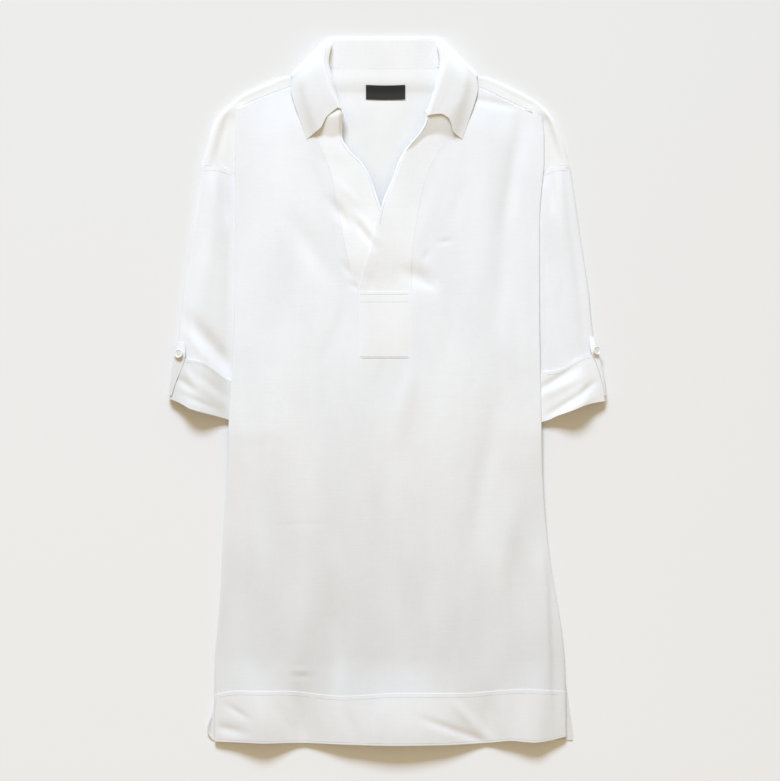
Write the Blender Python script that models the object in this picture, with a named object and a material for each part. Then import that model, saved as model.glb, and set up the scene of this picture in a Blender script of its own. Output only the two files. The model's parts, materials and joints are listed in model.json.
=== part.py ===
"""A popover dress in linen, laid flat with its front up, as its sewn pieces of cloth.

Sizes are in millimetres, and turn into metres where a mesh is made. X runs from the
left of the dress, seen from above, to its right, Y from the hem to the collar, and Z up
from the surface it lies on. Left and right are as seen from above.
"""
import math

import bpy
import bmesh
from mathutils import Matrix, Vector

MM = 0.001

# Cloth thickness and seams
CLOTH = 1.2
HEM_CLOTH = 1.8
COLLAR_CLOTH = 1.4
CUFF_CLOTH = 2.2
LABEL_CLOTH = 1.0
SEAM_GAP = 0.3
WELD = 0.01

# Place of the box's middle on the drawing below, so that the origin is at its foot
MIDDLE_X = 0.08
MIDDLE_Y = -0.9

# The front's folded side edges
LIP_RADIUS = 1.9
LIP_RETURN = 6.0
LIP_STEPS = 4

# Heights of the front above what it lies on
CROWN = 4.0
CROWN_RUN = 80.0
SHOULDER_START = 12.0
SHOULDER_RUN = 70.0
EDGE_BLEND = 60.0
EDGE_CALM = 12.0
NECK_RISE = 2.5
NECK_RISE_RUN = 55.0
NECK_RISE_GROWTH = 70.0
HEM_WAVE_START = -290.0
HEM_WAVE_FULL = -445.0

# Placket and its stitched rectangle
BOX_TOP = 125.5
BOX_FOOT = 41.0
BOX_LEFT = -37.0
BOX_RIGHT = 30.6
BOX_ROWS = 4
LAP = 1.9
LAP_FADE_START = 225.0
LAP_FADE_RUN = 45.0
NECK_POINT_LEFT = (-92.0, 403.0)
NECK_POINT_RIGHT = (84.0, 403.0)
OPENING_TOP = 355.0

# Side folds of the front: height, left edge, right edge, top of what lies under each
SIDE_FOLDS = (
    (-460.0, -224.5, 232.0, 1.8, 1.8),
    (-400.0, -224.5, 231.5, 1.8, 1.8),
    (-350.0, -224.0, 229.5, 1.3, 1.3),
    (-310.0, -220.4, 225.5, 1.3, 1.3),
    (-275.0, -217.5, 220.0, 1.3, 1.3),
    (-245.0, -215.4, 214.5, 1.3, 1.3),
    (-215.0, -214.6, 210.0, 1.3, 1.3),
    (-180.0, -212.5, 206.0, 1.3, 1.3),
    (-150.0, -210.6, 203.3, 1.3, 1.3),
    (-110.0, -207.6, 200.8, 1.5, 1.5),
    (-75.0, -206.4, 199.8, 4.5, 4.5),
    (-50.0, -206.0, 199.5, 6.1, 6.1),
    (30.0, -200.8, 198.0, 6.1, 6.1),
    (75.0, -198.2, 197.0, 4.2, 4.2),
    (220.0, -197.6, 197.2, 4.1, 4.1),
    (256.0, -197.6, 199.6, 4.1, 4.1),
    (297.0, -197.6, 203.0, 4.1, 4.1),
    (326.0, -197.6, 203.0, 4.1, 4.1),
    (354.0, -197.5, 200.5, 4.1, 4.1),
    (363.0, -197.4, 199.0, 4.1, 4.1),
)

# Front seam of the yoke: place across, height
SHOULDER_SEAM = (
    (-198.0, 361.5),
    (-173.6, 372.5),
    (-152.8, 380.8),
    (-124.2, 391.2),
    (-105.0, 398.2),
    (-92.0, 403.0),
    (84.0, 403.0),
    (100.0, 396.9),
    (127.5, 386.4),
    (151.5, 374.5),
    (189.9, 357.4),
    (200.0, 353.0),
)

# Placket: height, left seam, left opening edge, right opening edge, right seam
PLACKET = (
    (125.5, -37.0, 8.0, -37.0, 30.6),
    (155.0, -47.0, 7.0, -29.3, 31.0),
    (185.0, -55.0, 4.0, -20.0, 33.0),
    (214.0, -60.0, -1.5, -13.0, 37.0),
    (242.0, -66.0, -11.0, -6.5, 42.0),
    (275.0, -72.0, -22.5, 7.0, 50.0),
    (291.0, -77.0, -31.0, 12.4, 57.0),
    (308.0, -84.0, -48.0, 21.0, 66.0),
    (328.0, -92.0, -58.5, 38.0, 78.0),
    (341.0, -94.5, -58.5, 46.5, 82.5),
    (355.0, -95.5, -56.5, 50.0, 84.5),
    (375.0, -95.5, -56.5, 50.0, 85.5),
    (403.0, -92.0, -56.5, 50.0, 84.0),
)

# Seam above the hem bands: place across, height
HEM_SEAM = (
    (-225.0, -397.0),
    (-195.0, -392.0),
    (-140.0, -392.0),
    (-60.0, -398.5),
    (16.0, -394.5),
    (100.0, -395.0),
    (178.0, -389.5),
    (233.0, -393.0),
)

# Lower edge of the front hem: place across, height, height of the cloth over the floor
HEM_EDGE = (
    (-225.0, -456.0, 5.9),
    (-200.0, -456.5, 9.0),
    (-163.0, -457.0, 17.0),
    (-110.0, -458.0, 5.4),
    (-50.0, -459.0, 14.0),
    (10.0, -459.6, 19.0),
    (70.0, -459.6, 15.0),
    (130.0, -458.0, 5.2),
    (160.0, -454.5, 11.0),
    (190.0, -456.0, 16.0),
    (213.0, -453.5, 10.0),
    (232.0, -449.5, 5.9),
)

# Soft folds of the front: start across, start height, end across, end height, spread, rise
FRONT_FOLDS = (
    (172.0, 341.0, 152.0, 222.0, 11.0, -1.8),
    (152.0, 222.0, 146.0, 100.0, 12.0, -1.5),
    (133.0, -53.0, 107.0, -222.0, 14.0, -1.6),
    (160.0, -150.0, 146.0, -265.0, 14.0, 1.5),
    (-190.0, -240.0, -188.0, -370.0, 18.0, -1.6),
    (-70.0, -270.0, -62.0, -385.0, 15.0, -2.6),
    (-105.0, -265.0, -115.0, -370.0, 16.0, 1.6),
    (27.0, 20.0, 14.0, -60.0, 13.0, 1.5),
    (24.0, 152.0, 56.0, 138.0, 11.0, -2.4),
    (-72.0, 243.0, -54.0, 216.0, 7.0, -1.6),
    (-120.0, 215.0, -80.0, 150.0, 14.0, -1.2),
    (60.0, -275.0, 66.0, -370.0, 14.0, 1.4),
)

# Fold beside the right outline: height, place across
SIDE_CREASE = (
    (-460.0, 214.0),
    (-390.0, 211.0),
    (-295.0, 208.0),
    (-170.0, 204.0),
)
SIDE_CREASE_RISE = 3.0
SIDE_CREASE_RUN = 40.0
SIDE_CREASE_DROP = 5.0
SIDE_CREASE_START = -165.0
SIDE_CREASE_FULL = -240.0

# Outline of shoulders and sleeves: height, left, right
ARM_OUTLINE = (
    (-12.0, -282.5, 282.5),
    (0.0, -281.0, 281.5),
    (25.0, -277.5, 277.5),
    (51.0, -273.5, 271.0),
    (77.0, -270.5, 266.0),
    (103.0, -267.2, 263.3),
    (129.0, -264.6, 260.7),
    (155.0, -260.7, 256.8),
    (181.0, -256.8, 252.9),
    (207.0, -254.0, 249.0),
    (233.0, -250.3, 245.1),
    (259.0, -245.6, 241.2),
    (286.0, -242.0, 236.8),
)

# Yoke on each side, from the armhole to the neck: left outline, right outline, height,
# height of the fold, reach across of the back seam, left and right place across of the
# front edge, and its height on the left and right where it lies under the front
YOKE_STATIONS = (
    (-242.0, 236.8, 286.0, 6.4, 228.0, -190.0, 196.0, 279.5, 279.5),
    (-238.4, 233.6, 300.0, 6.4, 221.0, -190.0, 197.0, 293.0, 293.0),
    (-234.7, 230.2, 312.7, 6.4, 213.0, -190.0, 197.0, 306.0, 306.0),
    (-228.2, 221.0, 337.4, 6.6, 188.0, -190.0, 196.0, 330.0, 328.0),
    (-219.1, 211.5, 355.6, 6.8, 161.5, -190.0, 193.0, 346.0, 345.0),
    (-204.8, 199.5, 368.5, 7.0, 148.0, -190.5, 191.0, 367.3, 359.6),
    (-191.8, 183.0, 379.5, 7.2, 132.0, -174.5, 170.0, 0.0, 0.0),
    (-172.3, 163.5, 389.6, 7.4, 117.0, -157.0, 151.0, 0.0, 0.0),
    (-152.8, 145.5, 398.3, 7.6, 103.0, -140.0, 134.0, 0.0, 0.0),
    (-133.3, 125.5, 405.8, 7.8, 90.0, -124.0, 116.0, 0.0, 0.0),
    (-122.5, 114.5, 406.0, 7.8, 80.0, -113.0, 105.0, 0.0, 0.0),
    (-107.0, 99.0, 412.5, 7.8, 70.0, -103.0, 95.0, 0.0, 0.0),
    (-91.0, 83.0, 420.0, 7.8, 60.0, -93.5, 85.5, 0.0, 0.0),
)
SHOULDER_GAP = 0.5
UNDER_FRONT_Z = 3.9
UNDER_FRONT_CLEAR = 1.2
UNDER_FRONT_LEAST = 0.4
FIRST_ON_SEAM = 6
FALL_PART = 0.67
FALL_SHARE = 0.8

# Back neck edge: place across, height
BACK_NECK = (
    (-79.0, 417.8),
    (-45.0, 417.4),
    (-4.0, 417.4),
    (37.0, 417.4),
    (71.0, 418.0),
)
BACK_NECK_COLUMNS = 8

# Back seam of the yoke, and the lift of its neck over the collar
YOKE_SEAM_MIDDLE = 238.0
YOKE_SEAM_SIDE = 279.0
YOKE_SEAM_FLAT = 60.0
YOKE_SEAM_REACH = 160.0
YOKE_MIDDLE_INSET = 6.0
YOKE_FLOOR_PARTS = (0.0, 0.1, 0.2, 0.6, 1.0)
NECK_LIFT = 1.8
NECK_LIFT_START = 384.0
NECK_LIFT_FULL = 397.0
NECK_LIFT_REACH = 139.0
NECK_LIFT_SIDE = 10.0
NECK_LIFT_NEAR = 2.0

# Armhole seam: distance out from the middle, height
ARMHOLE = (
    (160.0, 279.0),
    (200.0, 281.0),
    (222.0, 287.0),
    (243.0, 287.0),
)

# Sleeves and cuffs
SLEEVE_TOP = 286.0
SLEEVE_END = 44.0
SLEEVE_INNER_TOP = 161.0
SLEEVE_INNER_END = 149.0
ARMHOLE_GAP = 0.6
SLEEVE_END_GAP = 0.9
SLEEVE_LOW = 4.0
SLEEVE_EDGE = 6.4
SLEEVE_CREST = 9.8
SLEEVE_CREST_END = 11.4
CUFF_TOP = 42.0
CUFF_FOOT = -12.0
CUFF_INNER = 147.0
CUFF_LOW = 5.8
CUFF_EDGE = 9.6
CUFF_CREST_TOP = 13.4
CUFF_CREST_FOOT = 20.5
CREST_PLACE = 0.38
FOLD_INSET = 2.0
ARM_FLOOR_COLUMNS = 5
ARM_OUTER_STEPS = 4
ARM_TOP_COLUMNS = 7
ARM_INNER_STEPS = 3

# Ends of the cuffs: distance out from the middle, left top, left foot, right top, right foot
CUFF_ENDS = (
    (146.0, 4.0, -50.0, 15.0, -52.0),
    (204.0, 12.6, -40.0, 22.8, -41.0),
    (222.0, 25.0, -34.5, 25.0, -33.0),
    (239.0, 36.0, -30.0, 35.0, -27.0),
    (258.0, 39.5, -24.0, 44.0, -19.5),
    (272.0, 41.5, -16.0, 46.0, -16.5),
    (285.0, 43.0, -12.0, 46.0, -14.5),
)

# Cuff straps: height, run in from the arm's outer turn of the inner and outer edge (below
# nothing where it goes down the turn), share on the cuff, lift
TAB_LEFT = (
    (61.0, 6.5, -5.0, 0.0, 0.0),
    (52.0, 7.5, -6.5, 0.6, 0.3),
    (46.0, 7.8, -7.5, 1.0, 0.3),
    (38.0, 8.0, -8.5, 1.0, 0.1),
    (20.0, 4.0, -9.5, 1.0, 0.0),
    (6.0, 0.5, -11.0, 1.0, 0.0),
    (-8.0, -2.0, -12.0, 1.0, 0.0),
)
TAB_RIGHT = (
    (68.0, 3.0, -7.0, 0.0, 0.0),
    (58.0, 3.4, -8.5, 0.6, 0.5),
    (50.0, 3.2, -9.5, 1.0, 0.5),
    (40.0, 1.5, -10.5, 1.0, 0.3),
    (25.0, -0.5, -11.0, 1.0, 0.0),
    (8.0, -2.8, -12.0, 1.0, 0.0),
    (-8.0, -3.5, -12.5, 1.0, 0.0),
)
TAB_COLUMNS = 6

# Buttons: their profile is given as parts of the radius and of the thickness
BUTTON_RADIUS = 5.7
BUTTON_THICKNESS = 2.4
BUTTON_ROW = 2
BUTTON_SEAT = 0.9
BUTTON_SEGMENTS = 28
BUTTON_PROFILE = (
    (0.8, 0.0),
    (1.0, 0.3),
    (1.0, 0.75),
    (0.92, 1.0),
    (0.76, 0.98),
    (0.66, 0.72),
)

# Back panel: height, left edge, right edge
BACK_EDGES = (
    (-394.7, -222.8, 233.5),
    (-350.0, -221.0, 226.5),
    (-280.0, -215.0, 217.5),
    (-215.0, -211.0, 206.5),
    (-150.0, -207.0, 199.5),
    (-105.0, -203.0, 196.5),
    (-90.0, -190.0, 184.0),
    (-66.0, -145.5, 145.5),
    (0.0, -145.5, 145.5),
    (280.0, -159.5, 159.5),
)

# Back hem: height, left end, right end
BACK_HEM_ENDS = (
    (-455.0, -227.0, 240.5),
    (-446.0, -233.0, 240.5),
    (-437.0, -233.5, 239.5),
    (-420.0, -228.0, 237.0),
    (-395.3, -222.8, 234.0),
)
CORNER_START = -229.5
CORNER_RUN = 4.0
CORNER_RISE = 3.0

# Collar on each side: seam out from the neck's middle, its y and z, roll out, y and z,
# z of the turn, z halfway to the edge, outer edge out, y and z
NECK_MIDDLE = -4.0
COLLAR_STATIONS = (
    (0.0, 452.8, 5.2, 0.0, 457.8, 2.6, 0.0, 0.0, 0.0, 399.0, 0.0),
    (30.0, 452.8, 5.2, 30.0, 457.8, 2.6, 0.0, 0.0, 42.0, 399.0, 0.0),
    (55.0, 452.6, 5.2, 55.0, 457.6, 2.6, 0.0, 0.0, 80.0, 400.0, 0.0),
    (66.0, 452.2, 5.2, 67.5, 457.2, 2.8, 0.0, 0.0, 106.0, 403.0, 0.0),
    (69.0, 451.6, 5.6, 72.5, 456.6, 3.4, 1.0, 0.8, 118.5, 406.5, 0.8),
    (70.8, 450.4, 7.4, 75.0, 454.8, 6.2, 6.0, 6.2, 121.5, 408.4, 6.2),
    (71.6, 447.4, 9.8, 74.8, 451.0, 11.0, 11.8, 12.0, 119.5, 406.0, 11.6),
    (73.6, 438.0, 13.0, 75.4, 440.5, 15.2, 16.6, 15.2, 119.8, 400.0, 12.0),
    (75.4, 424.0, 16.2, 76.4, 424.4, 18.6, 20.0, 18.0, 121.0, 391.0, 12.0),
    (71.0, 404.0, 18.0, 71.8, 404.4, 20.6, 22.2, 19.6, 117.5, 373.0, 13.4),
    (63.4, 380.0, 18.4, 64.2, 380.2, 21.0, 22.6, 20.2, 109.0, 348.0, 14.8),
    (54.4, 358.0, 17.6, 55.2, 358.2, 20.2, 21.8, 19.8, 100.5, 323.5, 15.2),
)
COLLAR_TURN = 3.0
BEFORE_ROLL = 0.6
AFTER_ROLL = 0.35
AFTER_ROLL_RISE = 0.68
ROLLED_RISE = 0.12
FLAT_RISE = 0.7
COLLAR_STEPS = (0.12, 0.28, 0.46, 0.64, 0.82, 1.0)

# Foot of the stand on each side: out from the middle of the neck, height, height over the floor
STAND_FEET = (
    (0.0, 418.2, 1.9),
    (30.0, 418.2, 1.9),
    (55.0, 418.6, 1.9),
    (70.0, 419.8, 2.4),
    (76.0, 421.0, 3.4),
    (81.0, 422.2, 4.6),
    (84.8, 421.4, 6.4),
    (86.0, 414.0, 8.0),
    (84.8, 404.8, 9.2),
    (74.6, 388.4, 10.6),
    (64.0, 373.6, 11.6),
    (53.2, 358.8, 12.6),
)
STAND_STEPS = 3
STAND_DROP = 0.5

# Plain label on the inside of the yoke
LABEL_LEFT = -28.0
LABEL_RIGHT = 23.0
LABEL_FOOT = 376.5
LABEL_TOP = 395.0
LABEL_ROWS = 4

# Grid counts
LEFT_COLUMNS = 9
SLOT_COLUMNS = 4
RIGHT_COLUMNS = 10
UPPER_ROWS = 12
LOWER_ROWS = 22
HEM_ROWS = 4
BACK_HEM_COLUMNS = 16
BAND_COLUMNS = 3
SLEEVE_ROWS = 12
CUFF_ROWS = 4
YOKE_FOLD_STEPS = 5

# Colors and finishes
LINEN = (0.93, 0.925, 0.91)
LABEL_BLACK = (0.012, 0.012, 0.013)
BUTTON_WHITE = (0.9, 0.89, 0.86)
LINEN_ROUGH = 0.9
LABEL_ROUGH = 0.6
BUTTON_ROUGH = 0.35


def smooth(value):
    """Ease from 0 to 1 over the same range."""
    value = min(max(value, 0.0), 1.0)
    return value * value * (3.0 - 2.0 * value)


def mix(start, end, part):
    """The value that lies a part of the way from start to end."""
    return start + (end - start) * part


def mirrored(out, side):
    """Place across of a distance out from the neck's middle, on one side."""
    return NECK_MIDDLE + side * out


def slope_at(table, index, column):
    """Slope of a smooth curve through a table's rows, flat at its turning points."""
    if index in (0, len(table) - 1):
        near = 1 if index == 0 else index
        run = table[near][0] - table[near - 1][0]
        return (table[near][column] - table[near - 1][column]) / run
    before_run = table[index][0] - table[index - 1][0]
    after_run = table[index + 1][0] - table[index][0]
    before = (table[index][column] - table[index - 1][column]) / before_run
    after = (table[index + 1][column] - table[index][column]) / after_run
    if before * after <= 0.0:
        return 0.0
    return 2.0 * before * after / (before + after)


def along(table, place, column):
    """A column's value at a place in the first column, on a smooth curve."""
    if place <= table[0][0]:
        return table[0][column]
    if place >= table[-1][0]:
        return table[-1][column]
    index = 0
    while place > table[index + 1][0]:
        index += 1
    run = table[index + 1][0] - table[index][0]
    part = (place - table[index][0]) / run
    start = table[index][column]
    end = table[index + 1][column]
    start_slope = slope_at(table, index, column) * run
    end_slope = slope_at(table, index + 1, column) * run
    square = part * part
    cube = square * part
    return (
        start * (2.0 * cube - 3.0 * square + 1.0)
        + start_slope * (cube - 2.0 * square + part)
        + end * (3.0 * square - 2.0 * cube)
        + end_slope * (cube - square)
    )


def distance_to_run(x, y, x0, y0, x1, y1):
    """Distance from a point to a straight run between two points."""
    dx = x1 - x0
    dy = y1 - y0
    part = ((x - x0) * dx + (y - y0) * dy) / (dx * dx + dy * dy)
    part = min(max(part, 0.0), 1.0)
    return math.hypot(x - x0 - part * dx, y - y0 - part * dy)


def front_edge(y, side):
    """Place across of the front's side edge."""
    return along(SIDE_FOLDS, y, 1 if side < 0 else 2)


def lip_top(y, side):
    """Height of the front's folded side edge."""
    under = along(SIDE_FOLDS, y, 3 if side < 0 else 4)
    return under + SEAM_GAP + 2.0 * LIP_RADIUS


def neck_rise(x, y):
    """Rise of the front towards the edges of its opening."""
    left = abs(x - along(PLACKET, y, 2))
    right = abs(x - along(PLACKET, y, 3))
    away = min(left, right)
    reach = smooth((y - BOX_TOP) / NECK_RISE_GROWTH)
    return NECK_RISE * reach * (1.0 - smooth(away / NECK_RISE_RUN))


def side_crease(x, y):
    """Ridge and step of the fold beside the right outline."""
    crease = along(SIDE_CREASE, y, 1)
    grown = smooth((SIDE_CREASE_START - y) / (SIDE_CREASE_START - SIDE_CREASE_FULL))
    climb = smooth((x - crease + SIDE_CREASE_RUN) / SIDE_CREASE_RUN)
    fall = 1.0 - smooth((x - crease) / SIDE_CREASE_DROP)
    return SIDE_CREASE_RISE * grown * climb * fall


def front_folds(x, y):
    """Sum of the front's soft folds."""
    total = 0.0
    for x0, y0, x1, y1, spread, rise in FRONT_FOLDS:
        away = distance_to_run(x, y, x0, y0, x1, y1) / spread
        total += rise * math.exp(-away * away)
    return total


def front_height(x, y):
    """Height of the front's upper face."""
    left = x - along(SIDE_FOLDS, y, 1)
    right = along(SIDE_FOLDS, y, 2) - x
    inward = smooth(min(left, right) / CROWN_RUN)
    edge = mix(lip_top(y, -1), lip_top(y, 1), smooth((x + EDGE_BLEND) / (2.0 * EDGE_BLEND)))
    below_shoulder = along(SHOULDER_SEAM, x, 1) - y
    crown = CROWN * inward * smooth((below_shoulder + SHOULDER_START) / SHOULDER_RUN)
    near_edge = smooth(min(left, right) / EDGE_CALM)
    body = edge + crown + (front_folds(x, y) + side_crease(x, y)) * near_edge
    waved = smooth((HEM_WAVE_START - y) / (HEM_WAVE_START - HEM_WAVE_FULL))
    return mix(body, along(HEM_EDGE, x, 2), waved) + neck_rise(x, y)


def new_material(name, color, roughness):
    """Plain finish of one piece."""
    material = bpy.data.materials.new(name)
    material.use_nodes = True
    shader = material.node_tree.nodes["Principled BSDF"]
    shader.inputs["Base Color"].default_value = (*color, 1.0)
    shader.inputs["Roughness"].default_value = roughness
    shader.inputs["Metallic"].default_value = 0.0
    return material


def to_scene(point):
    """A drawing point in metres, from the box's middle."""
    return Vector((point[0] - MIDDLE_X, point[1] - MIDDLE_Y, point[2])) * MM


def add_grid(mesh, rows, flip=False, closed=False):
    """Faces over rows of points."""
    made = [[mesh.verts.new(to_scene(point)) for point in row] for row in rows]
    columns = len(rows[0])
    last = columns if closed else columns - 1
    for lower, upper in zip(made, made[1:]):
        for column in range(last):
            following = (column + 1) % columns
            corners = [lower[column], lower[following], upper[following], upper[column]]
            if flip:
                corners.reverse()
            mesh.faces.new(corners)


def cloth_piece(name, grids, thickness, color=LINEN, roughness=LINEN_ROUGH):
    """A wall of cloth behind the outer faces given by grids of points."""
    mesh = bmesh.new()
    for rows, flip, closed in grids:
        add_grid(mesh, rows, flip, closed)
    bmesh.ops.remove_doubles(mesh, verts=mesh.verts, dist=WELD * MM)
    data = bpy.data.meshes.new(name)
    mesh.to_mesh(data)
    mesh.free()
    piece = bpy.data.objects.new(name, data)
    bpy.context.scene.collection.objects.link(piece)
    wall = piece.modifiers.new("Wall", "SOLIDIFY")
    wall.thickness = thickness * MM
    wall.offset = -1.0
    wall.use_rim = True
    data.materials.append(new_material(name, color, roughness))
    data.shade_smooth()
    return piece


def lip_section(y, side, raised=0.0):
    """Folded side edge of the front at a height, from the return to the top."""
    edge = front_edge(y, side)
    low = lip_top(y, side) - 2.0 * LIP_RADIUS
    centre = edge - side * LIP_RADIUS
    radius = LIP_RADIUS + raised / 2.0
    points = [(centre - side * LIP_RETURN, y, low), (centre - side * LIP_RETURN / 3.0, y, low)]
    for step in range(LIP_STEPS):
        turn = math.pi * step / LIP_STEPS
        across = centre + side * LIP_RADIUS * math.sin(turn)
        points.append((across, y, low + radius * (1.0 - math.cos(turn))))
    return points


def front_point(x, y):
    """A point of the front's upper face."""
    return (x, y, front_height(x, y))


def block_row(start, end, columns, y_of):
    """Points of the upper face between two places across."""
    row = []
    for column in range(columns + 1):
        x = mix(start, end, column / columns)
        row.append(front_point(x, y_of(x)))
    return row


def whole_row(y_of, raised=0.0):
    """A whole row of the front below the placket, or of its hem."""
    left_y = y_of(HEM_SEAM[0][0])
    right_y = y_of(HEM_SEAM[-1][0])
    left_edge = along(SIDE_FOLDS, left_y, 1) + LIP_RADIUS
    right_edge = along(SIDE_FOLDS, right_y, 2) - LIP_RADIUS
    flat = block_row(left_edge, BOX_LEFT, LEFT_COLUMNS, y_of)[:-1]
    flat += block_row(BOX_LEFT, BOX_RIGHT, SLOT_COLUMNS, y_of)[:-1]
    flat += block_row(BOX_RIGHT, right_edge, RIGHT_COLUMNS, y_of)
    row = lip_section(left_y, -1, raised)
    row += [(x, y, z + raised) for x, y, z in flat]
    row += reversed(lip_section(right_y, 1, raised))
    return row


def upper_front_row(part, side):
    """A row of the front beside the placket, from its side edge to the seam."""
    neck = NECK_POINT_LEFT if side < 0 else NECK_POINT_RIGHT
    columns = LEFT_COLUMNS if side < 0 else RIGHT_COLUMNS
    seam_y = mix(BOX_TOP, neck[1], part)
    seam_x = along(PLACKET, seam_y, 1 if side < 0 else 4)
    corner_y = SHOULDER_SEAM[0][1] if side < 0 else SHOULDER_SEAM[-1][1]
    edge_column = 1 if side < 0 else 2
    corner_x = along(SIDE_FOLDS, corner_y, edge_column) - side * LIP_RADIUS
    row = []
    for column in range(columns + 1):
        across = column / columns
        top_x = mix(corner_x, neck[0], across)
        y = mix(BOX_TOP, along(SHOULDER_SEAM, top_x, 1), part)
        edge_x = along(SIDE_FOLDS, y, edge_column) - side * LIP_RADIUS
        row.append(front_point(mix(edge_x, seam_x, across), y))
    return lip_section(row[0][1], side) + row


def make_front():
    """Front panel with its slot for the placket."""
    lower = []
    for index in range(LOWER_ROWS + 1):
        part = index / LOWER_ROWS
        lower.append(whole_row(
            lambda x, p=part: mix(along(HEM_SEAM, x, 1) + SEAM_GAP, BOX_TOP, p)))
    left = [upper_front_row(index / UPPER_ROWS, -1) for index in range(UPPER_ROWS + 1)]
    right = [upper_front_row(index / UPPER_ROWS, 1) for index in range(UPPER_ROWS + 1)]
    cloth_piece("front", ((lower, False, False), (left, False, False), (right, True, False)), CLOTH)


def make_front_hem():
    """Doubled band along the foot of the front."""
    rows = []
    for index in range(HEM_ROWS + 1):
        part = index / HEM_ROWS
        rows.append(whole_row(
            lambda x, p=part: mix(along(HEM_SEAM, x, 1) - SEAM_GAP, along(HEM_EDGE, x, 1), p),
            SEAM_GAP))
    cloth_piece("front_hem", ((rows, True, False),), HEM_CLOTH)


def lapped(x, y):
    """How far a point lies between the lapping edge and the seam behind it."""
    edge = along(PLACKET, y, 3)
    seam = along(PLACKET, y, 4)
    return smooth((x - edge) / (seam - edge))


def make_placket_band(name, side):
    """One band along the opening. The right band laps over the left."""
    neck = NECK_POINT_LEFT if side < 0 else NECK_POINT_RIGHT
    seam_column = 1 if side < 0 else 4
    edge_column = 2 if side < 0 else 3
    rows = []
    for index in range(UPPER_ROWS + 1):
        part = index / UPPER_ROWS
        seam_y = mix(BOX_TOP + SEAM_GAP, neck[1], part)
        edge_y = mix(BOX_TOP + SEAM_GAP, OPENING_TOP, part)
        seam_x = along(PLACKET, seam_y, seam_column) - side * SEAM_GAP
        edge_x = along(PLACKET, edge_y, edge_column)
        row = []
        for column in range(BAND_COLUMNS + 1):
            across = column / BAND_COLUMNS
            x = mix(seam_x, edge_x, across)
            y = mix(seam_y, edge_y, across)
            fade = 1.0 - smooth((y - LAP_FADE_START) / LAP_FADE_RUN)
            shift = -LAP * lapped(x, y) if side < 0 else LAP * (1.0 - lapped(x, y))
            row.append((x, y, front_height(x, y) + shift * fade))
        rows.append(row)
    cloth_piece(name, ((rows, side > 0, False),), CLOTH)


def make_placket_box():
    """Stitched rectangle on the front at the foot of the placket."""
    rows = []
    for index in range(BOX_ROWS + 1):
        y = mix(BOX_FOOT, BOX_TOP - SEAM_GAP, index / BOX_ROWS)
        row = []
        for column in range(SLOT_COLUMNS + 1):
            x = mix(BOX_LEFT, BOX_RIGHT, column / SLOT_COLUMNS)
            row.append((x, y, front_height(x, y) + SEAM_GAP + CLOTH))
        rows.append(row)
    cloth_piece("placket_box", ((rows, False, False),), CLOTH)


def yoke_seam(x):
    """Height of the yoke's back seam."""
    part = smooth((abs(x) - YOKE_SEAM_FLAT) / (YOKE_SEAM_REACH - YOKE_SEAM_FLAT))
    return mix(YOKE_SEAM_MIDDLE, YOKE_SEAM_SIDE, part)


def yoke_foot(x):
    """Lower edge of the yoke, at the back seam or the armhole."""
    if abs(x) > YOKE_SEAM_REACH:
        return along(ARMHOLE, abs(x), 1) + SEAM_GAP
    return yoke_seam(x) + SEAM_GAP


def neck_lift(x, y):
    """Rise of the yoke's underside over the turned-down collar."""
    up = smooth((y - NECK_LIFT_START) / (NECK_LIFT_FULL - NECK_LIFT_START))
    side = smooth((NECK_LIFT_REACH - abs(x - NECK_MIDDLE)) / NECK_LIFT_SIDE)
    return NECK_LIFT * up * side


def floor_line(outer, inner):
    """Points of the yoke's underside from its outer edge to its back seam."""
    parts = list(YOKE_FLOOR_PARTS)
    if outer[1] > NECK_LIFT_FULL + NECK_LIFT_NEAR:
        parts[1] = (outer[1] - NECK_LIFT_FULL) / (outer[1] - inner[1])
        parts[2] = (outer[1] - NECK_LIFT_START) / (outer[1] - inner[1])
    line = []
    for part in parts:
        x = mix(outer[0], inner[0], part)
        y = mix(outer[1], inner[1], part)
        line.append((x, y, neck_lift(x, y)))
    return line


def yoke_station(side, index):
    """Underside line and folded-over line of the yoke at one station."""
    left, right, y, fold, reach, front_left, front_right, left_y, right_y = YOKE_STATIONS[index]
    outline = (left, y) if side < 0 else (right, y)
    on_seam = index >= FIRST_ON_SEAM
    front = (front_left, left_y) if side < 0 else (front_right, right_y)
    if on_seam:
        front = (front[0], along(SHOULDER_SEAM, front[0], 1) + SHOULDER_GAP)
    length = math.dist(outline, front)
    inward = ((front[0] - outline[0]) / length, (front[1] - outline[1]) / length)
    base = neck_lift(*outline)
    radius = (fold - base) / 2.0
    edge = (outline[0] + inward[0] * radius, outline[1] + inward[1] * radius)
    inner_x = side * reach
    floor = floor_line(edge, (inner_x, yoke_foot(inner_x)))
    over = []
    for step in range(YOKE_FOLD_STEPS + 1):
        turn = math.pi * step / YOKE_FOLD_STEPS
        out = radius * (1.0 - math.sin(turn))
        x = outline[0] + inward[0] * out
        y_here = outline[1] + inward[1] * out
        over.append((x, y_here, base + radius * (1.0 - math.cos(turn))))
    over[0] = floor[0]
    front_z = front_height(*front) if on_seam else UNDER_FRONT_Z
    covered = front_edge(front[1], side) + side * UNDER_FRONT_CLEAR
    under_part = max((covered - edge[0]) / (front[0] - edge[0]), UNDER_FRONT_LEAST)
    low_part = FALL_PART if on_seam else under_part
    low_share = FALL_SHARE if on_seam else 1.0
    for part, fall in ((low_part / 2.0, 0.5), (low_part, low_share), (1.0, 1.0)):
        x = mix(edge[0], front[0], part)
        over.append((x, mix(edge[1], front[1], part), mix(fold, front_z, fall)))
    if index == 0:
        over = [(x, along(ARMHOLE, abs(x), 1) + SEAM_GAP, z) for x, _, z in over]
        floor = [(x, along(ARMHOLE, abs(x), 1) + SEAM_GAP, z) for x, _, z in floor]
    return floor, over


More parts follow.
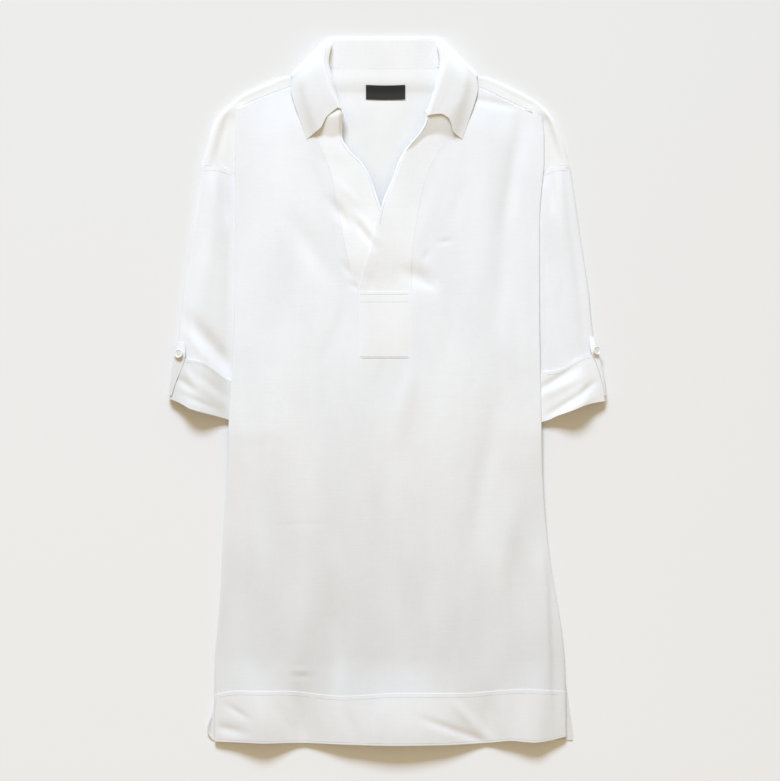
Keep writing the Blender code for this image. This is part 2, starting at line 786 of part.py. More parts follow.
def neck_inner_places():
    """Places across where the yoke's middle meets its back seam."""
    reach = YOKE_STATIONS[-1][4] - YOKE_MIDDLE_INSET
    columns = range(BACK_NECK_COLUMNS + 1)
    return [mix(-reach, reach, column / BACK_NECK_COLUMNS) for column in columns]


def make_yoke():
    """Yoke over both shoulders, folded round their outline."""
    count = len(YOKE_STATIONS)
    left = [yoke_station(-1, index) for index in range(count)]
    right = [yoke_station(1, index) for index in range(count)]
    neck = []
    first = BACK_NECK[0][0]
    last = BACK_NECK[-1][0]
    for column, inner_x in enumerate(neck_inner_places()):
        x = mix(first, last, column / BACK_NECK_COLUMNS)
        neck.append(floor_line((x, along(BACK_NECK, x, 1)), (inner_x, yoke_foot(inner_x))))
    floor = [station[0] for station in left] + neck + [station[0] for station in reversed(right)]
    over_left = [station[1] for station in left]
    over_right = [station[1] for station in right]
    grids = ((floor, True, False), (over_left, False, False), (over_right, True, False))
    cloth_piece("yoke", grids, CLOTH)


def make_back():
    """Flat back panel."""
    sides = [station[4] for station in YOKE_STATIONS if station[4] < BACK_EDGES[-1][2]]
    places = [-reach for reach in sides] + neck_inner_places() + list(reversed(sides))
    places = [BACK_EDGES[-1][1]] + places + [BACK_EDGES[-1][2]]
    rows = []
    for height, left, right in BACK_EDGES:
        row = []
        for place in places:
            x = place * (left / places[0] if place < 0.0 else right / places[-1])
            y = yoke_seam(x) - SEAM_GAP if height == BACK_EDGES[-1][0] else height
            row.append((x, y, 0.0))
        rows.append(row)
    cloth_piece("back", ((rows, True, False),), CLOTH)


def make_back_hem():
    """Doubled band along the foot of the back, with its left corner turned up."""
    rows = []
    for height, left, right in BACK_HEM_ENDS:
        row = []
        for column in range(BACK_HEM_COLUMNS + 1):
            part = column / BACK_HEM_COLUMNS
            x = mix(left, right, part * part)
            row.append((x, height, CORNER_RISE * smooth((CORNER_START - x) / CORNER_RUN)))
        rows.append(row)
    cloth_piece("back_hem", ((rows, True, False),), HEM_CLOTH)


def arm_loop(side, outer, inner, fold, edge, crest, low):
    """Section of a sleeve or cuff: places across and heights, once round."""
    inner_radius = low / 2.0
    outer_radius = edge / 2.0
    outer_start = outer - side * outer_radius
    inner_start = inner + side * inner_radius
    loop = []
    for step in range(ARM_FLOOR_COLUMNS + 1):
        loop.append((mix(inner_start, outer_start, step / ARM_FLOOR_COLUMNS), 0.0))
    for step in range(1, ARM_OUTER_STEPS):
        turn = math.pi * step / ARM_OUTER_STEPS
        across = outer_start + side * outer_radius * math.sin(turn)
        loop.append((across, outer_radius * (1.0 - math.cos(turn))))
    for step in range(ARM_TOP_COLUMNS + 1):
        part = step / ARM_TOP_COLUMNS
        x = mix(outer_start, fold, part)
        if part < CREST_PLACE:
            z = mix(edge, crest, smooth(part / CREST_PLACE))
        else:
            z = mix(crest, low, smooth((part - CREST_PLACE) / (1.0 - CREST_PLACE)))
        loop.append((x, z))
    loop.append((mix(fold, inner_start, 0.5), low))
    loop.append((inner_start, low))
    for step in range(1, ARM_INNER_STEPS):
        turn = math.pi * step / ARM_INNER_STEPS
        across = inner_start - side * inner_radius * math.sin(turn)
        loop.append((across, inner_radius * (1.0 + math.cos(turn))))
    return loop


def cuff_end(x, side, foot):
    """Height of a cuff's upper end or foot at a place across."""
    column = (1 if side < 0 else 3) + (1 if foot else 0)
    return along(CUFF_ENDS, abs(x), column)


def make_sleeve(name, side):
    """Sleeve from the armhole to the cuff, open at both ends."""
    rows = []
    for index in range(SLEEVE_ROWS + 1):
        part = index / SLEEVE_ROWS
        middle_y = mix(SLEEVE_TOP, SLEEVE_END, part)
        outer = along(ARM_OUTLINE, middle_y, 1 if side < 0 else 2)
        inner = side * mix(SLEEVE_INNER_TOP, SLEEVE_INNER_END, part)
        fold = front_edge(middle_y, side) - side * FOLD_INSET
        crest = mix(SLEEVE_CREST, SLEEVE_CREST_END, part)
        row = []
        for x, z in arm_loop(side, outer, inner, fold, SLEEVE_EDGE, crest, SLEEVE_LOW):
            top = along(ARMHOLE, abs(x), 1) - ARMHOLE_GAP
            end = cuff_end(x, side, False) + SLEEVE_END_GAP
            row.append((x, mix(top, end, part), z))
        rows.append(row)
    cloth_piece(name, ((rows, side < 0, True),), CLOTH)


def make_cuff(name, side):
    """Rolled cuff, open at both ends."""
    rows = []
    for index in range(CUFF_ROWS + 1):
        part = index / CUFF_ROWS
        middle_y = mix(CUFF_TOP, CUFF_FOOT, part)
        outer = along(ARM_OUTLINE, middle_y, 1 if side < 0 else 2)
        fold = front_edge(middle_y, side) - side * FOLD_INSET
        crest = mix(CUFF_CREST_TOP, CUFF_CREST_FOOT, part)
        loop = arm_loop(side, outer, side * CUFF_INNER, fold, CUFF_EDGE, crest, CUFF_LOW)
        row = []
        for x, z in loop:
            top = cuff_end(x, side, False)
            row.append((x, mix(top, cuff_end(x, side, True), part), z))
        rows.append(row)
    cloth_piece(name, ((rows, side < 0, True),), CUFF_CLOTH)


def tab_point(side, y, run, on_cuff, lift):
    """A point over the sleeve or cuff, at a run in from its outer turn."""
    x = along(ARM_OUTLINE, y, 1 if side < 0 else 2)
    top = cuff_end(x, side, False)
    part = min(max((top - y) / (top - cuff_end(x, side, True)), 0.0), 1.0)
    sleeve_crest = mix(SLEEVE_CREST, SLEEVE_CREST_END, (SLEEVE_TOP - y) / (SLEEVE_TOP - SLEEVE_END))
    edge = mix(SLEEVE_EDGE, CUFF_EDGE, on_cuff)
    crest = mix(sleeve_crest, mix(CUFF_CREST_TOP, CUFF_CREST_FOOT, part), on_cuff)
    radius = edge / 2.0
    away = 2.0 * SEAM_GAP + CLOTH + lift
    turn_start = x - side * radius
    if run < 0.0:
        turn = -run / (radius + away)
        across = (radius + away) * math.sin(turn)
        return Vector((turn_start + side * across, y, radius + (radius + away) * math.cos(turn)))
    fold = front_edge(y, side) - side * FOLD_INSET
    climb = smooth(run / (abs(turn_start - fold) * CREST_PLACE))
    return Vector((turn_start - side * run, y, mix(edge, crest, climb) + away))


def tab_rows(table, side):
    """Points of a strap, from its buttoned end to the cuff's foot."""
    rows = []
    for y, inner, outer, on_cuff, lift in table:
        runs = [mix(inner, outer, column / TAB_COLUMNS) for column in range(TAB_COLUMNS + 1)]
        rows.append([tab_point(side, y, run, on_cuff, lift) for run in runs])
    return rows


def make_tab(name, table, side):
    """Strap that holds a rolled cuff."""
    cloth_piece(name, ((tab_rows(table, side), side > 0, False),), CLOTH)


def tab_frame(table, side):
    """Middle of the strap where the button sits, and the direction away from the strap."""
    rows = tab_rows(table, side)
    middle = TAB_COLUMNS // 2
    place = rows[BUTTON_ROW][middle]
    length = rows[BUTTON_ROW + 1][middle] - rows[BUTTON_ROW - 1][middle]
    across = rows[BUTTON_ROW][-1] - rows[BUTTON_ROW][0]
    outward = length.cross(across).normalized()
    if outward.z < 0.0:
        outward.negate()
    return place, outward


def make_button(name, table, side):
    """Dished button on a strap."""
    middle, outward = tab_frame(table, side)
    mesh = bmesh.new()
    rings = []
    for radius_part, height_part in BUTTON_PROFILE:
        radius = radius_part * BUTTON_RADIUS
        height = height_part * BUTTON_THICKNESS
        ring = []
        for step in range(BUTTON_SEGMENTS):
            turn = 2.0 * math.pi * step / BUTTON_SEGMENTS
            place = Vector((math.cos(turn) * radius, math.sin(turn) * radius, height))
            ring.append(mesh.verts.new(place * MM))
        rings.append(ring)
    for lower, upper in zip(rings, rings[1:]):
        for step in range(BUTTON_SEGMENTS):
            following = (step + 1) % BUTTON_SEGMENTS
            mesh.faces.new((lower[step], lower[following], upper[following], upper[step]))
    mesh.faces.new(list(reversed(rings[0])))
    mesh.faces.new(rings[-1])
    data = bpy.data.meshes.new(name)
    mesh.to_mesh(data)
    mesh.free()
    button = bpy.data.objects.new(name, data)
    bpy.context.scene.collection.objects.link(button)
    seat = middle + outward * BUTTON_SEAT
    turn = outward.to_track_quat("Z", "Y").to_matrix().to_4x4()
    button.matrix_world = Matrix.Translation(to_scene(seat)) @ turn
    data.materials.append(new_material(name, BUTTON_WHITE, BUTTON_ROUGH))
    data.shade_smooth()


def collar_line(station, side):
    """Points across the collar, from the stand's seam over the roll to its edge."""
    (seam_out, seam_y, seam_z, roll_out, roll_y, roll_z,
     turn_z, middle_z, outer_out, outer_y, outer_z) = station
    seam = Vector((mirrored(seam_out, side), seam_y, seam_z))
    roll = Vector((mirrored(roll_out, side), roll_y, roll_z))
    outer = Vector((mirrored(outer_out, side), outer_y, outer_z))
    run = Vector((outer.x - roll.x, outer.y - roll.y, 0.0)).normalized()
    turn = roll + run * COLLAR_TURN
    turn.z = turn_z
    before = seam.lerp(roll, BEFORE_ROLL)
    before.z = mix(seam_z, roll_z, ROLLED_RISE if seam_z > roll_z else FLAT_RISE)
    after = roll.lerp(turn, AFTER_ROLL)
    after.z = mix(roll_z, turn_z, AFTER_ROLL_RISE)
    line = [seam, before, roll, after, turn]
    for part in COLLAR_STEPS:
        point = turn.lerp(outer, part)
        if part < 0.5:
            point.z = mix(turn_z, middle_z, smooth(part * 2.0))
        else:
            point.z = mix(middle_z, outer_z, smooth(part * 2.0 - 1.0))
        line.append(point)
    return line


def make_collar():
    """Fall of the collar, turned down behind the neck and onto the front."""
    left = [collar_line(station, -1) for station in reversed(COLLAR_STATIONS)]
    right = [collar_line(station, 1) for station in COLLAR_STATIONS[1:]]
    cloth_piece("collar", ((left + right, True, False),), COLLAR_CLOTH)


def stand_line(index, side):
    """Points up the stand from its foot to the collar's seam."""
    out, y, z = STAND_FEET[index]
    foot = Vector((mirrored(out, side), y, z))
    station = COLLAR_STATIONS[index]
    standing = station[6] > station[2]
    back = 0.0 if standing else 2.0 * SEAM_GAP
    drop = STAND_DROP if standing else CLOTH
    top = Vector((mirrored(station[0], side), station[1] - back, station[2] - drop))
    return [foot.lerp(top, step / STAND_STEPS) for step in range(STAND_STEPS + 1)]


def make_collar_stand():
    """Band that stands between the neck and the collar."""
    count = len(COLLAR_STATIONS)
    left = [stand_line(index, -1) for index in reversed(range(count))]
    right = [stand_line(index, 1) for index in range(1, count)]
    cloth_piece("collar_stand", ((left + right, False, False),), CLOTH)


def make_label():
    """Plain label on the inside of the yoke."""
    rows = []
    for step in range(LABEL_ROWS + 1):
        y = mix(LABEL_FOOT, LABEL_TOP, step / LABEL_ROWS)
        row = []
        for x in (LABEL_LEFT, LABEL_RIGHT):
            row.append((x, y, neck_lift(x, y) + CLOTH + 2.0 * SEAM_GAP + LABEL_CLOTH))
        rows.append(row)
    cloth_piece("neck_label", ((rows, False, False),), LABEL_CLOTH, LABEL_BLACK, LABEL_ROUGH)


def clear_scene():
    """Start from an empty scene."""
    for piece in list(bpy.data.objects):
        bpy.data.objects.remove(piece)


def main():
    clear_scene()
    make_back()
    make_back_hem()
    make_yoke()
    make_sleeve("sleeve_left", -1)
    make_sleeve("sleeve_right", 1)
    make_cuff("cuff_left", -1)
    make_cuff("cuff_right", 1)
    make_tab("tab_left", TAB_LEFT, -1)
    make_tab("tab_right", TAB_RIGHT, 1)
    make_button("button_left", TAB_LEFT, -1)
    make_button("button_right", TAB_RIGHT, 1)
    make_front()
    make_front_hem()
    make_placket_band("placket_left", -1)
    make_placket_band("placket_right", 1)
    make_placket_box()
    make_collar_stand()
    make_collar()
    make_label()
    bpy.context.view_layer.update()


main()
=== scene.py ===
import json
import math

import bmesh
import bpy
import numpy as np
from mathutils import Matrix, Vector
from mathutils.bvhtree import BVHTree


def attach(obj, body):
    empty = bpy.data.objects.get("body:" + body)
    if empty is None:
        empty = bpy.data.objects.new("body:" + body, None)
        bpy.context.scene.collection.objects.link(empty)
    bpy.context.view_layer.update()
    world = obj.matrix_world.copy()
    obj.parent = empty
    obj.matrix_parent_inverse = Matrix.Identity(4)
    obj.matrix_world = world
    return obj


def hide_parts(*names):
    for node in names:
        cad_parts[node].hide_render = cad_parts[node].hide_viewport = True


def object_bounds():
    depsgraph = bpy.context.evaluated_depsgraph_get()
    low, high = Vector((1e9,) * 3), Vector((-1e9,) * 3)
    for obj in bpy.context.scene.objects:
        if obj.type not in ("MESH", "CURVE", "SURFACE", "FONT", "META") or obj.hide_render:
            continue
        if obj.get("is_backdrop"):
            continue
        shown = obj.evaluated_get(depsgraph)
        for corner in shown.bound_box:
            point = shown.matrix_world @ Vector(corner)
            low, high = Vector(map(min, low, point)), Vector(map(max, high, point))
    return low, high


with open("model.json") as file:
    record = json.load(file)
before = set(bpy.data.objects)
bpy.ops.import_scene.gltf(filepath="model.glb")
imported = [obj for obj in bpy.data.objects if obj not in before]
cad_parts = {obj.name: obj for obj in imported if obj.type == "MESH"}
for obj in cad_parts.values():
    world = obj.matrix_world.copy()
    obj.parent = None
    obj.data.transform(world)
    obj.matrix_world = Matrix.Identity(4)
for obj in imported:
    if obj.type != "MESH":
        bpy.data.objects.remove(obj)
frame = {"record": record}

BOUNDS_AT_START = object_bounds()

# Looks of a popover dress in linen, laid flat with its front up: each piece of cloth as a
# fine shell on its solid's form, the stitching, the finishes, the light and the floor.
# Sizes are in millimetres, and turn into metres where a mesh is made. X runs from the left
# of the dress, seen from above, to its right, Y from the hem to the collar, and Z up.
MM = 0.001
SIDES = (-1, 1)
LEAST_RUN = 1e-6

# Cloth thickness and seams
CLOTH = 1.2
HEM_CLOTH = 1.8
COLLAR_CLOTH = 1.4
CUFF_CLOTH = 2.2
LABEL_CLOTH = 1.0
SEAM_GAP = 0.08
WELD = 0.01

# Place of the box's middle on the drawing below, so that the origin is at its foot
MIDDLE_X = 0.08
MIDDLE_Y = -0.9

# The front's folded side edges
LIP_RADIUS = 1.4
LIP_RETURN = 6.0

# Heights of the front above what it lies on
CROWN = 4.0
CROWN_RUN = 80.0
SHOULDER_START = 12.0
SHOULDER_RUN = 70.0
EDGE_CALM = 12.0
NECK_RISE = 2.5
NECK_RISE_RUN = 55.0
NECK_RISE_GROWTH = 70.0
HEM_WAVE_START = -345.0
HEM_WAVE_FULL = -455.0

# Placket and its stitched rectangle
BOX_TOP = 125.5
BOX_FOOT = 41.0
BOX_LEFT = -37.0
BOX_RIGHT = 30.6
LAP = 1.9
LAP_FADE_START = 225.0
LAP_FADE_RUN = 45.0
NECK_POINT_LEFT = (-92.0, 403.0)
NECK_POINT_RIGHT = (84.0, 403.0)
OPENING_TOP = 355.0

# Side folds of the front: height, left edge, right edge, top of what lies under them
SIDE_FOLDS = (
    (-460, -224.5, 232, 1.8),
    (-400, -224.5, 231.5, 1.8),
    (-350, -224, 229.5, 1.3),
    (-310, -220.4, 225.5, 1.3),
    (-275, -217.5, 220, 1.3),
    (-245, -215.4, 214.5, 1.3),
    (-215, -214.6, 210, 1.5),
    (-180, -212.5, 206, 2),
    (-150, -210.6, 203.3, 2.7),
    (-110, -207.6, 200.8, 4),
    (-75, -206.4, 199.8, 5.3),
    (-50, -206, 199.5, 6.1),
    (45, -200, 197.6, 6.1),
    (90, -198.2, 197, 5.3),
    (150, -197.9, 197.1, 4.5),
    (220, -197.6, 197.2, 4.1),
    (256, -197.6, 199.6, 4.1),
    (297, -197.6, 203, 4.1),
    (326, -197.6, 203, 4.1),
    (354, -197.5, 200.5, 4.1),
    (363, -197.4, 199, 4.1),
)

# Middle of the front: height, how far its cloth lies over the surface without its crown
INNER_HEIGHTS = (
    (-460, 3.6),
    (-350, 3.2),
    (-280, 3.7),
    (-200, 5),
    (-120, 6.8),
    (-60, 7.8),
    (0, 8.2),
    (100, 7.6),
    (220, 7),
    (363, 6.9),
)

# Front seam of the yoke: place across, height
SHOULDER_SEAM = (
    (-198, 361.5),
    (-173.6, 372.5),
    (-152.8, 380.8),
    (-124.2, 391.2),
    (-105, 398.2),
    (-92, 403),
    (84, 403),
    (100, 396.9),
    (127.5, 386.4),
    (151.5, 374.5),
    (189.9, 357.4),
    (200, 353),
)

# Placket: height, left seam, left opening edge, right opening edge, right seam
PLACKET = (
    (125.5, -37, 8, -37, 30.6),
    (155, -47, 7, -29.3, 31),
    (185, -55, 4, -20, 33),
    (214, -60, -1.5, -13, 37),
    (242, -66, -11, -6.5, 42),
    (275, -72, -22.5, 7, 50),
    (291, -77, -31, 12.4, 57),
    (308, -84, -48, 21, 66),
    (328, -92, -58.5, 38, 78),
    (341, -94.5, -58.5, 46.5, 82.5),
    (355, -95.5, -56.5, 50, 84.5),
    (375, -95.5, -56.5, 50, 85.5),
    (403, -92, -56.5, 50, 84),
)

# Seam above the hem bands: place across, height
HEM_SEAM = (
    (-225, -397),
    (-195, -392),
    (-140, -392),
    (-60, -398.5),
    (16, -394.5),
    (100, -395),
    (178, -389.5),
    (233, -393),
)

# Lower edge of the front hem: place across, height, height of the cloth over the floor
HEM_EDGE = (
    (-225, -456, 5.9),
    (-200, -456.5, 9),
    (-163, -457, 17),
    (-110, -458, 5.4),
    (-50, -459, 14),
    (10, -459.6, 19),
    (70, -459.6, 15),
    (130, -458, 5.2),
    (160, -454.5, 11),
    (190, -456, 16),
    (213, -453.5, 10),
    (232, -449.5, 5.9),
)

# Soft folds of the front: start across, start height, end across, end height, spread, rise
FRONT_FOLDS = (
    (172, 341, 152, 222, 11, -1.8),
    (152, 222, 146, 100, 12, -1.5),
    (133, -53, 107, -222, 14, -1.6),
    (160, -150, 146, -265, 14, 1.5),
    (-190, -240, -188, -370, 18, -1.6),
    (-70, -270, -62, -385, 15, -2.6),
    (-105, -265, -115, -370, 16, 1.6),
    (27, 20, 14, -60, 13, 1.5),
    (24, 152, 56, 138, 11, -1.5),
    (-72, 243, -54, 216, 7, -1.6),
    (-120, 215, -80, 150, 14, -1.2),
    (60, -275, 66, -370, 14, 1.4),
)

# Fold beside the right outline: height, place across
SIDE_CREASE = (
    (-460, 214),
    (-390, 211),
    (-295, 208),
    (-170, 204),
)
SIDE_CREASE_RISE = 4.2
SIDE_CREASE_RUN = 40.0
SIDE_CREASE_DROP = 4.0
SIDE_CREASE_START = -165.0
SIDE_CREASE_FULL = -240.0

# Outline of shoulders and sleeves: height, left, right
ARM_OUTLINE = (
    (-12, -282.5, 282.5),
    (0, -281, 281.5),
    (25, -277.5, 277.5),
    (51, -273.5, 271),
    (77, -270.5, 266),
    (103, -267.2, 263.3),
    (129, -264.6, 260.7),
    (155, -260.7, 256.8),
    (181, -256.8, 252.9),
    (207, -254, 249),
    (233, -250.3, 245.1),
    (259, -245.6, 241.2),
    (286, -242, 236.8),
)

# Yoke on each side, from the armhole to the neck: left outline, right outline, height,
# height of the fold, reach across of the back seam, left and right place across of the
# front edge, and its height on the left and right where it lies under the front
YOKE_STATIONS = (
    (-242, 236.8, 286, 6.4, 228, -190, 196, 279.5, 279.5),
    (-238.4, 233.6, 300, 6.4, 221, -190, 197, 293, 293),
    (-234.7, 230.2, 312.7, 6.4, 213, -190, 197, 306, 306),
    (-228.2, 221, 337.4, 6.6, 188, -190, 196, 330, 328),
    (-219.1, 211.5, 355.6, 6.8, 161.5, -190, 193, 346, 345),
    (-204.8, 199.5, 368.5, 7, 148, -190.5, 191, 367.3, 359.6),
    (-191.8, 183, 379.5, 7.2, 132, -174.5, 170, 0, 0),
    (-172.3, 163.5, 389.6, 7.4, 117, -157, 151, 0, 0),
    (-152.8, 145.5, 398.3, 7.6, 103, -140, 134, 0, 0),
    (-133.3, 125.5, 405.8, 7.8, 90, -124, 116, 0, 0),
    (-122.5, 114.5, 406, 7.8, 80, -113, 105, 0, 0),
    (-107, 99, 412.5, 7.8, 70, -103, 95, 0, 0),
    (-91, 83, 420, 7.8, 60, -93.5, 85.5, 0, 0),
)
SHOULDER_LAP = 1.5
UNDER_FRONT_Z = 3.9
UNDER_FRONT_CLEAR = 1.2
UNDER_FRONT_LEAST = 0.4
FIRST_ON_SEAM = 5
FALL_PART = 0.67
FALL_SHARE = 0.8

# Back neck edge: place across, height
BACK_NECK = (
    (-79, 417.8),
    (-45, 417.4),
    (-4, 417.4),
    (37, 417.4),
    (71, 418),
)
BACK_NECK_COLUMNS = 8

# Back seam of the yoke, and the lift of its neck over the collar
YOKE_SEAM_MIDDLE = 238.0
YOKE_SEAM_SIDE = 279.0
YOKE_SEAM_FLAT = 60.0
YOKE_SEAM_REACH = 160.0
YOKE_MIDDLE_INSET = 6.0
YOKE_FLOOR_PARTS = (0.0, 0.1, 0.2, 0.6, 1.0)
NECK_LIFT = 1.8
NECK_LIFT_START = 384.0
NECK_LIFT_FULL = 397.0
NECK_LIFT_REACH = 139.0
NECK_LIFT_SIDE = 10.0
NECK_LIFT_NEAR = 2.0

# Armhole seam: distance out from the middle, height
ARMHOLE = (
    (160, 279),
    (200, 281),
    (222, 287),
    (243, 287),
)

# Sleeves and cuffs: pairs are at the upper and the lower end
SLEEVE_HEIGHTS = (286.0, 44.0)
SLEEVE_INNER = (161.0, 149.0)
SLEEVE_CRESTS = (9.8, 11.4)
ARMHOLE_GAP = 0.15
ARMHOLE_LAP = 3.0
ARMHOLE_SINK = 0.9
ARMHOLE_RIM = 7.0
SLEEVE_TUCK = 6.0
SLEEVE_LOW = 4.0
SLEEVE_EDGE = 6.4
CUFF_HEIGHTS = (42.0, -12.0)
CUFF_INNER = (147.0, 147.0)
CUFF_CRESTS = (13.4, 20.5)
CUFF_LOW = 5.8
CUFF_EDGE = 9.6
CREST_PLACE = 0.38
FOLD_INSET = 2.0
ARM_FLOOR_COLUMNS = 5
ARM_OUTER_STEPS = 4
ARM_TOP_COLUMNS = 7
ARM_INNER_STEPS = 3

# Ends of the cuffs: distance out from the middle, left top, left foot, right top, right foot
CUFF_ENDS = (
    (146, 4, -50, 15, -52),
    (204, 12.6, -40, 22.8, -41),
    (222, 25, -34.5, 25, -33),
    (239, 36, -30, 35, -27),
    (258, 39.5, -24, 44, -19.5),
    (272, 41.5, -16, 46, -16.5),
    (285, 43, -12, 46, -14.5),
)

# Cuff straps: height, run in from the arm's outer turn of the inner and outer edge (below
# nothing where it goes down the turn), share on the cuff, lift
TAB_LEFT = (
    (61, 6.5, -5, 0, 0),
    (52, 7.5, -6.5, 0.6, 0.3),
    (46, 7.8, -7.5, 1, 0.3),
    (38, 8, -8.5, 1, 0.1),
    (20, 4, -9.5, 1, 0),
    (6, 0.5, -11, 1, 0),
    (-8, -2, -12, 1, 0),
)
TAB_RIGHT = (
    (68, 3, -7, 0, 0),
    (58, 3.4, -8.5, 0.6, 0.5),
    (50, 3.2, -9.5, 1, 0.5),
    (40, 1.5, -10.5, 1, 0.3),
    (25, -0.5, -11, 1, 0),
    (8, -2.8, -12, 1, 0),
    (-8, -3.5, -12.5, 1, 0),
)
TAB_COLUMNS = 6

# Buttons: their profile is given as parts of the radius and of the thickness
BUTTON_RADIUS = 5.7
BUTTON_THICKNESS = 2.4
BUTTON_ROW = 2
BUTTON_SEAT = 0.9
BUTTON_PROFILE = (
    (0.8, 0),
    (1, 0.3),
    (1, 0.75),
    (0.92, 1),
    (0.76, 0.98),
    (0.66, 0.72),
)

# Back panel: height, left edge, right edge
BACK_EDGES = (
    (-394.7, -222.8, 233.5),
    (-350, -221, 226.5),
    (-280, -215, 217.5),
    (-215, -211, 206.5),
    (-150, -207, 199.5),
    (-105, -203, 196.5),
    (-90, -190, 184),
    (-66, -145.5, 145.5),
    (0, -145.5, 145.5),
    (280, -159.5, 159.5),
)

# Back hem: height, left end, right end
BACK_HEM_ENDS = (
    (-455, -227, 240.5),
    (-446, -233, 240.5),
    (-437, -233.5, 239.5),
    (-420, -228, 237),
    (-395.3, -222.8, 234),
)
CORNER_START = -229.5
CORNER_RUN = 4.0
CORNER_RISE = 3.0

# Collar on each side: seam out from the neck's middle, its y and z, roll out, y and z,
# z of the turn, z halfway to the edge, outer edge out, y and z
NECK_MIDDLE = -4.0
COLLAR_STATIONS = (
    (0, 452.8, 5.2, 0, 457.8, 2.6, 0, 0, 0, 399, 0),
    (30, 452.8, 5.2, 30, 457.8, 2.6, 0, 0, 42, 399, 0),
    (55, 452.6, 5.2, 55, 457.6, 2.6, 0, 0, 80, 400, 0),
    (66, 452.2, 5.2, 67.5, 457.2, 2.8, 0, 0, 106, 403, 0),
    (69, 451.6, 5.6, 72.5, 456.6, 3.4, 1, 0.8, 118.5, 406.5, 0.8),
    (70.8, 450.4, 7.4, 75, 454.8, 6.2, 6, 6.2, 121.5, 408.4, 6.2),
    (71.6, 447.4, 9.8, 74.8, 451, 11, 11.8, 12, 119.5, 406, 11.6),
    (73.6, 438, 13, 75.4, 440.5, 15.2, 16.6, 15.2, 119.8, 400, 12),
    (75.4, 424, 16.2, 76.4, 424.4, 18.6, 20, 18, 121, 391, 12),
    (71, 404, 18, 71.8, 404.4, 20.6, 22.2, 19.6, 117.5, 373, 13.4),
    (63.4, 380, 18.4, 64.2, 380.2, 21, 22.6, 20.2, 109, 348, 14.8),
    (54.4, 358, 17.6, 55.2, 358.2, 20.2, 21.8, 19.8, 100.5, 323.5, 15.2),
)
COLLAR_TURN = 3.0
BEFORE_ROLL = 0.6
AFTER_ROLL = 0.35
AFTER_ROLL_RISE = 0.68
ROLLED_RISE = 0.12
FLAT_RISE = 0.7
COLLAR_STEPS = (0.12, 0.28, 0.46, 0.64, 0.82, 1.0)

# Foot of the stand on each side: out from the middle of the neck, height, height over the floor
STAND_FEET = (
    (0, 418.2, 1.9),
    (30, 418.2, 1.9),
    (55, 418.6, 1.9),
    (70, 419.8, 2.4),
    (76, 421, 3.4),
    (81, 422.2, 4.6),
    (84.8, 421.4, 6.4),
    (86, 414, 8),
    (84.8, 404.8, 9.2),
    (74.6, 388.4, 10.6),
    (64, 373.6, 11.6),
    (53.2, 358.8, 12.6),
)
STAND_STEPS = 3
STAND_DROP = 0.1
FOOT_TUCK = 2.0
FOOT_SIDE = 417.0
SEAM_PULL = 3.0
SEAM_PULL_Z = 5.2
SEAM_PULL_Z_RUN = 4.0
SEAM_PULL_Y = 372.0
SEAM_PULL_Y_RUN = 30.0

# Plain label on the inside of the yoke
LABEL_LEFT = -28.0
LABEL_RIGHT = 23.0
LABEL_FOOT = 376.5
LABEL_TOP = 395.0
LABEL_BOW = 0.8

# Grid counts of the solids, and how many times finer each shell is
YOKE_FOLD_STEPS = 5
BACK_HEM_COLUMNS = 64
FINE_BACK_ROWS = 4
FINE_BACK_COLUMNS = 2
SLEEVE_ROWS = 12
CUFF_ROWS = 4
FINE_LEFT_COLUMNS = 56
FINE_SLOT_COLUMNS = 24
FINE_RIGHT_COLUMNS = 60
FINE_UPPER_ROWS = 100
FINE_LOWER_ROWS = 185
FINE_HEM_ROWS = 28
FINE_BOX_ROWS = 34
FINE_LIP_STEPS = 7

# Small folds of the front: start across, start height, end across, end height, spread, rise
FINE_FOLDS = (
    (-43, 218, -19, 186, 4, -1.7),
    (-36, 224, -13, 194, 4.5, 1.3),
    (-57, 163, -46, 145, 4, -1.3),
    (-49, 137, -38, 130, 3.5, -1.2),
    (-21.5, 146, -21, 128, 3, -0.9),
    (-30, 140, -29, 128, 3, 0.6),
    (34, 164, 30, 130, 4, -1.1),
    (46, 140, 60, 131, 3.5, -0.7),
    (52, 178, 48, 167, 3.5, -1.1),
    (67, 190, 82, 192, 3, -1),
    (104, 378, 160, 366, 5, -1.6),
    (-122, -371, -100, -371, 4, -0.7),
    (-120, -364, -102, -365, 4, 0.9),
    (-136, -175, -88, -174, 2.6, -0.25),
    (88, -98, 101, -222, 6, -1),
    (98, -110, 112, -235, 7, 0.8),
    (66, -40, 84, -190, 12, 0.8),
    (14, 26, 8, -92, 5, -0.6),
    (34, 40, 26, -120, 9, 0.6),
    (-96, 110, -92, -60, 14, -0.7),
    (-150, 60, -146, -160, 16, 0.8),
    (-30, 20, -28, -160, 18, 0.9),
    (-160, -190, -148, -345, 13, 1.3),
    (-205, -210, -206, -330, 12, -1),
    (-18, -200, -10, -330, 15, 1.1),
    (22, -240, 20, -372, 11, -1),
    (118, -250, 124, -380, 12, -1.4),
    (150, -280, 154, -384, 9, 1.1),
    (184, -240, 190, -380, 10, -1.2),
    (90, 240, 96, 120, 15, -0.8),
    (116, 300, 118, 130, 13, 0.9),
    (-140, 300, -128, 180, 18, 0.9),
    (-96, 290, -84, 236, 9, -0.9),
    (-66, 268, -38, 240, 6, 0.7),
    (96, 262, 84, 214, 8, -0.8),
    (60, 250, 42, 196, 9, 0.8),
    (176, 200, 178, 20, 9, 0.7),
    (-178, 230, -180, 30, 10, -0.6),
    (-60, 92, -84, 40, 8, -0.7),
    (52, 96, 74, 30, 9, -0.6),
    (-8, 38, -10, -20, 7, -0.6),
    (-60, 20, -58, -120, 9, -0.5),
)

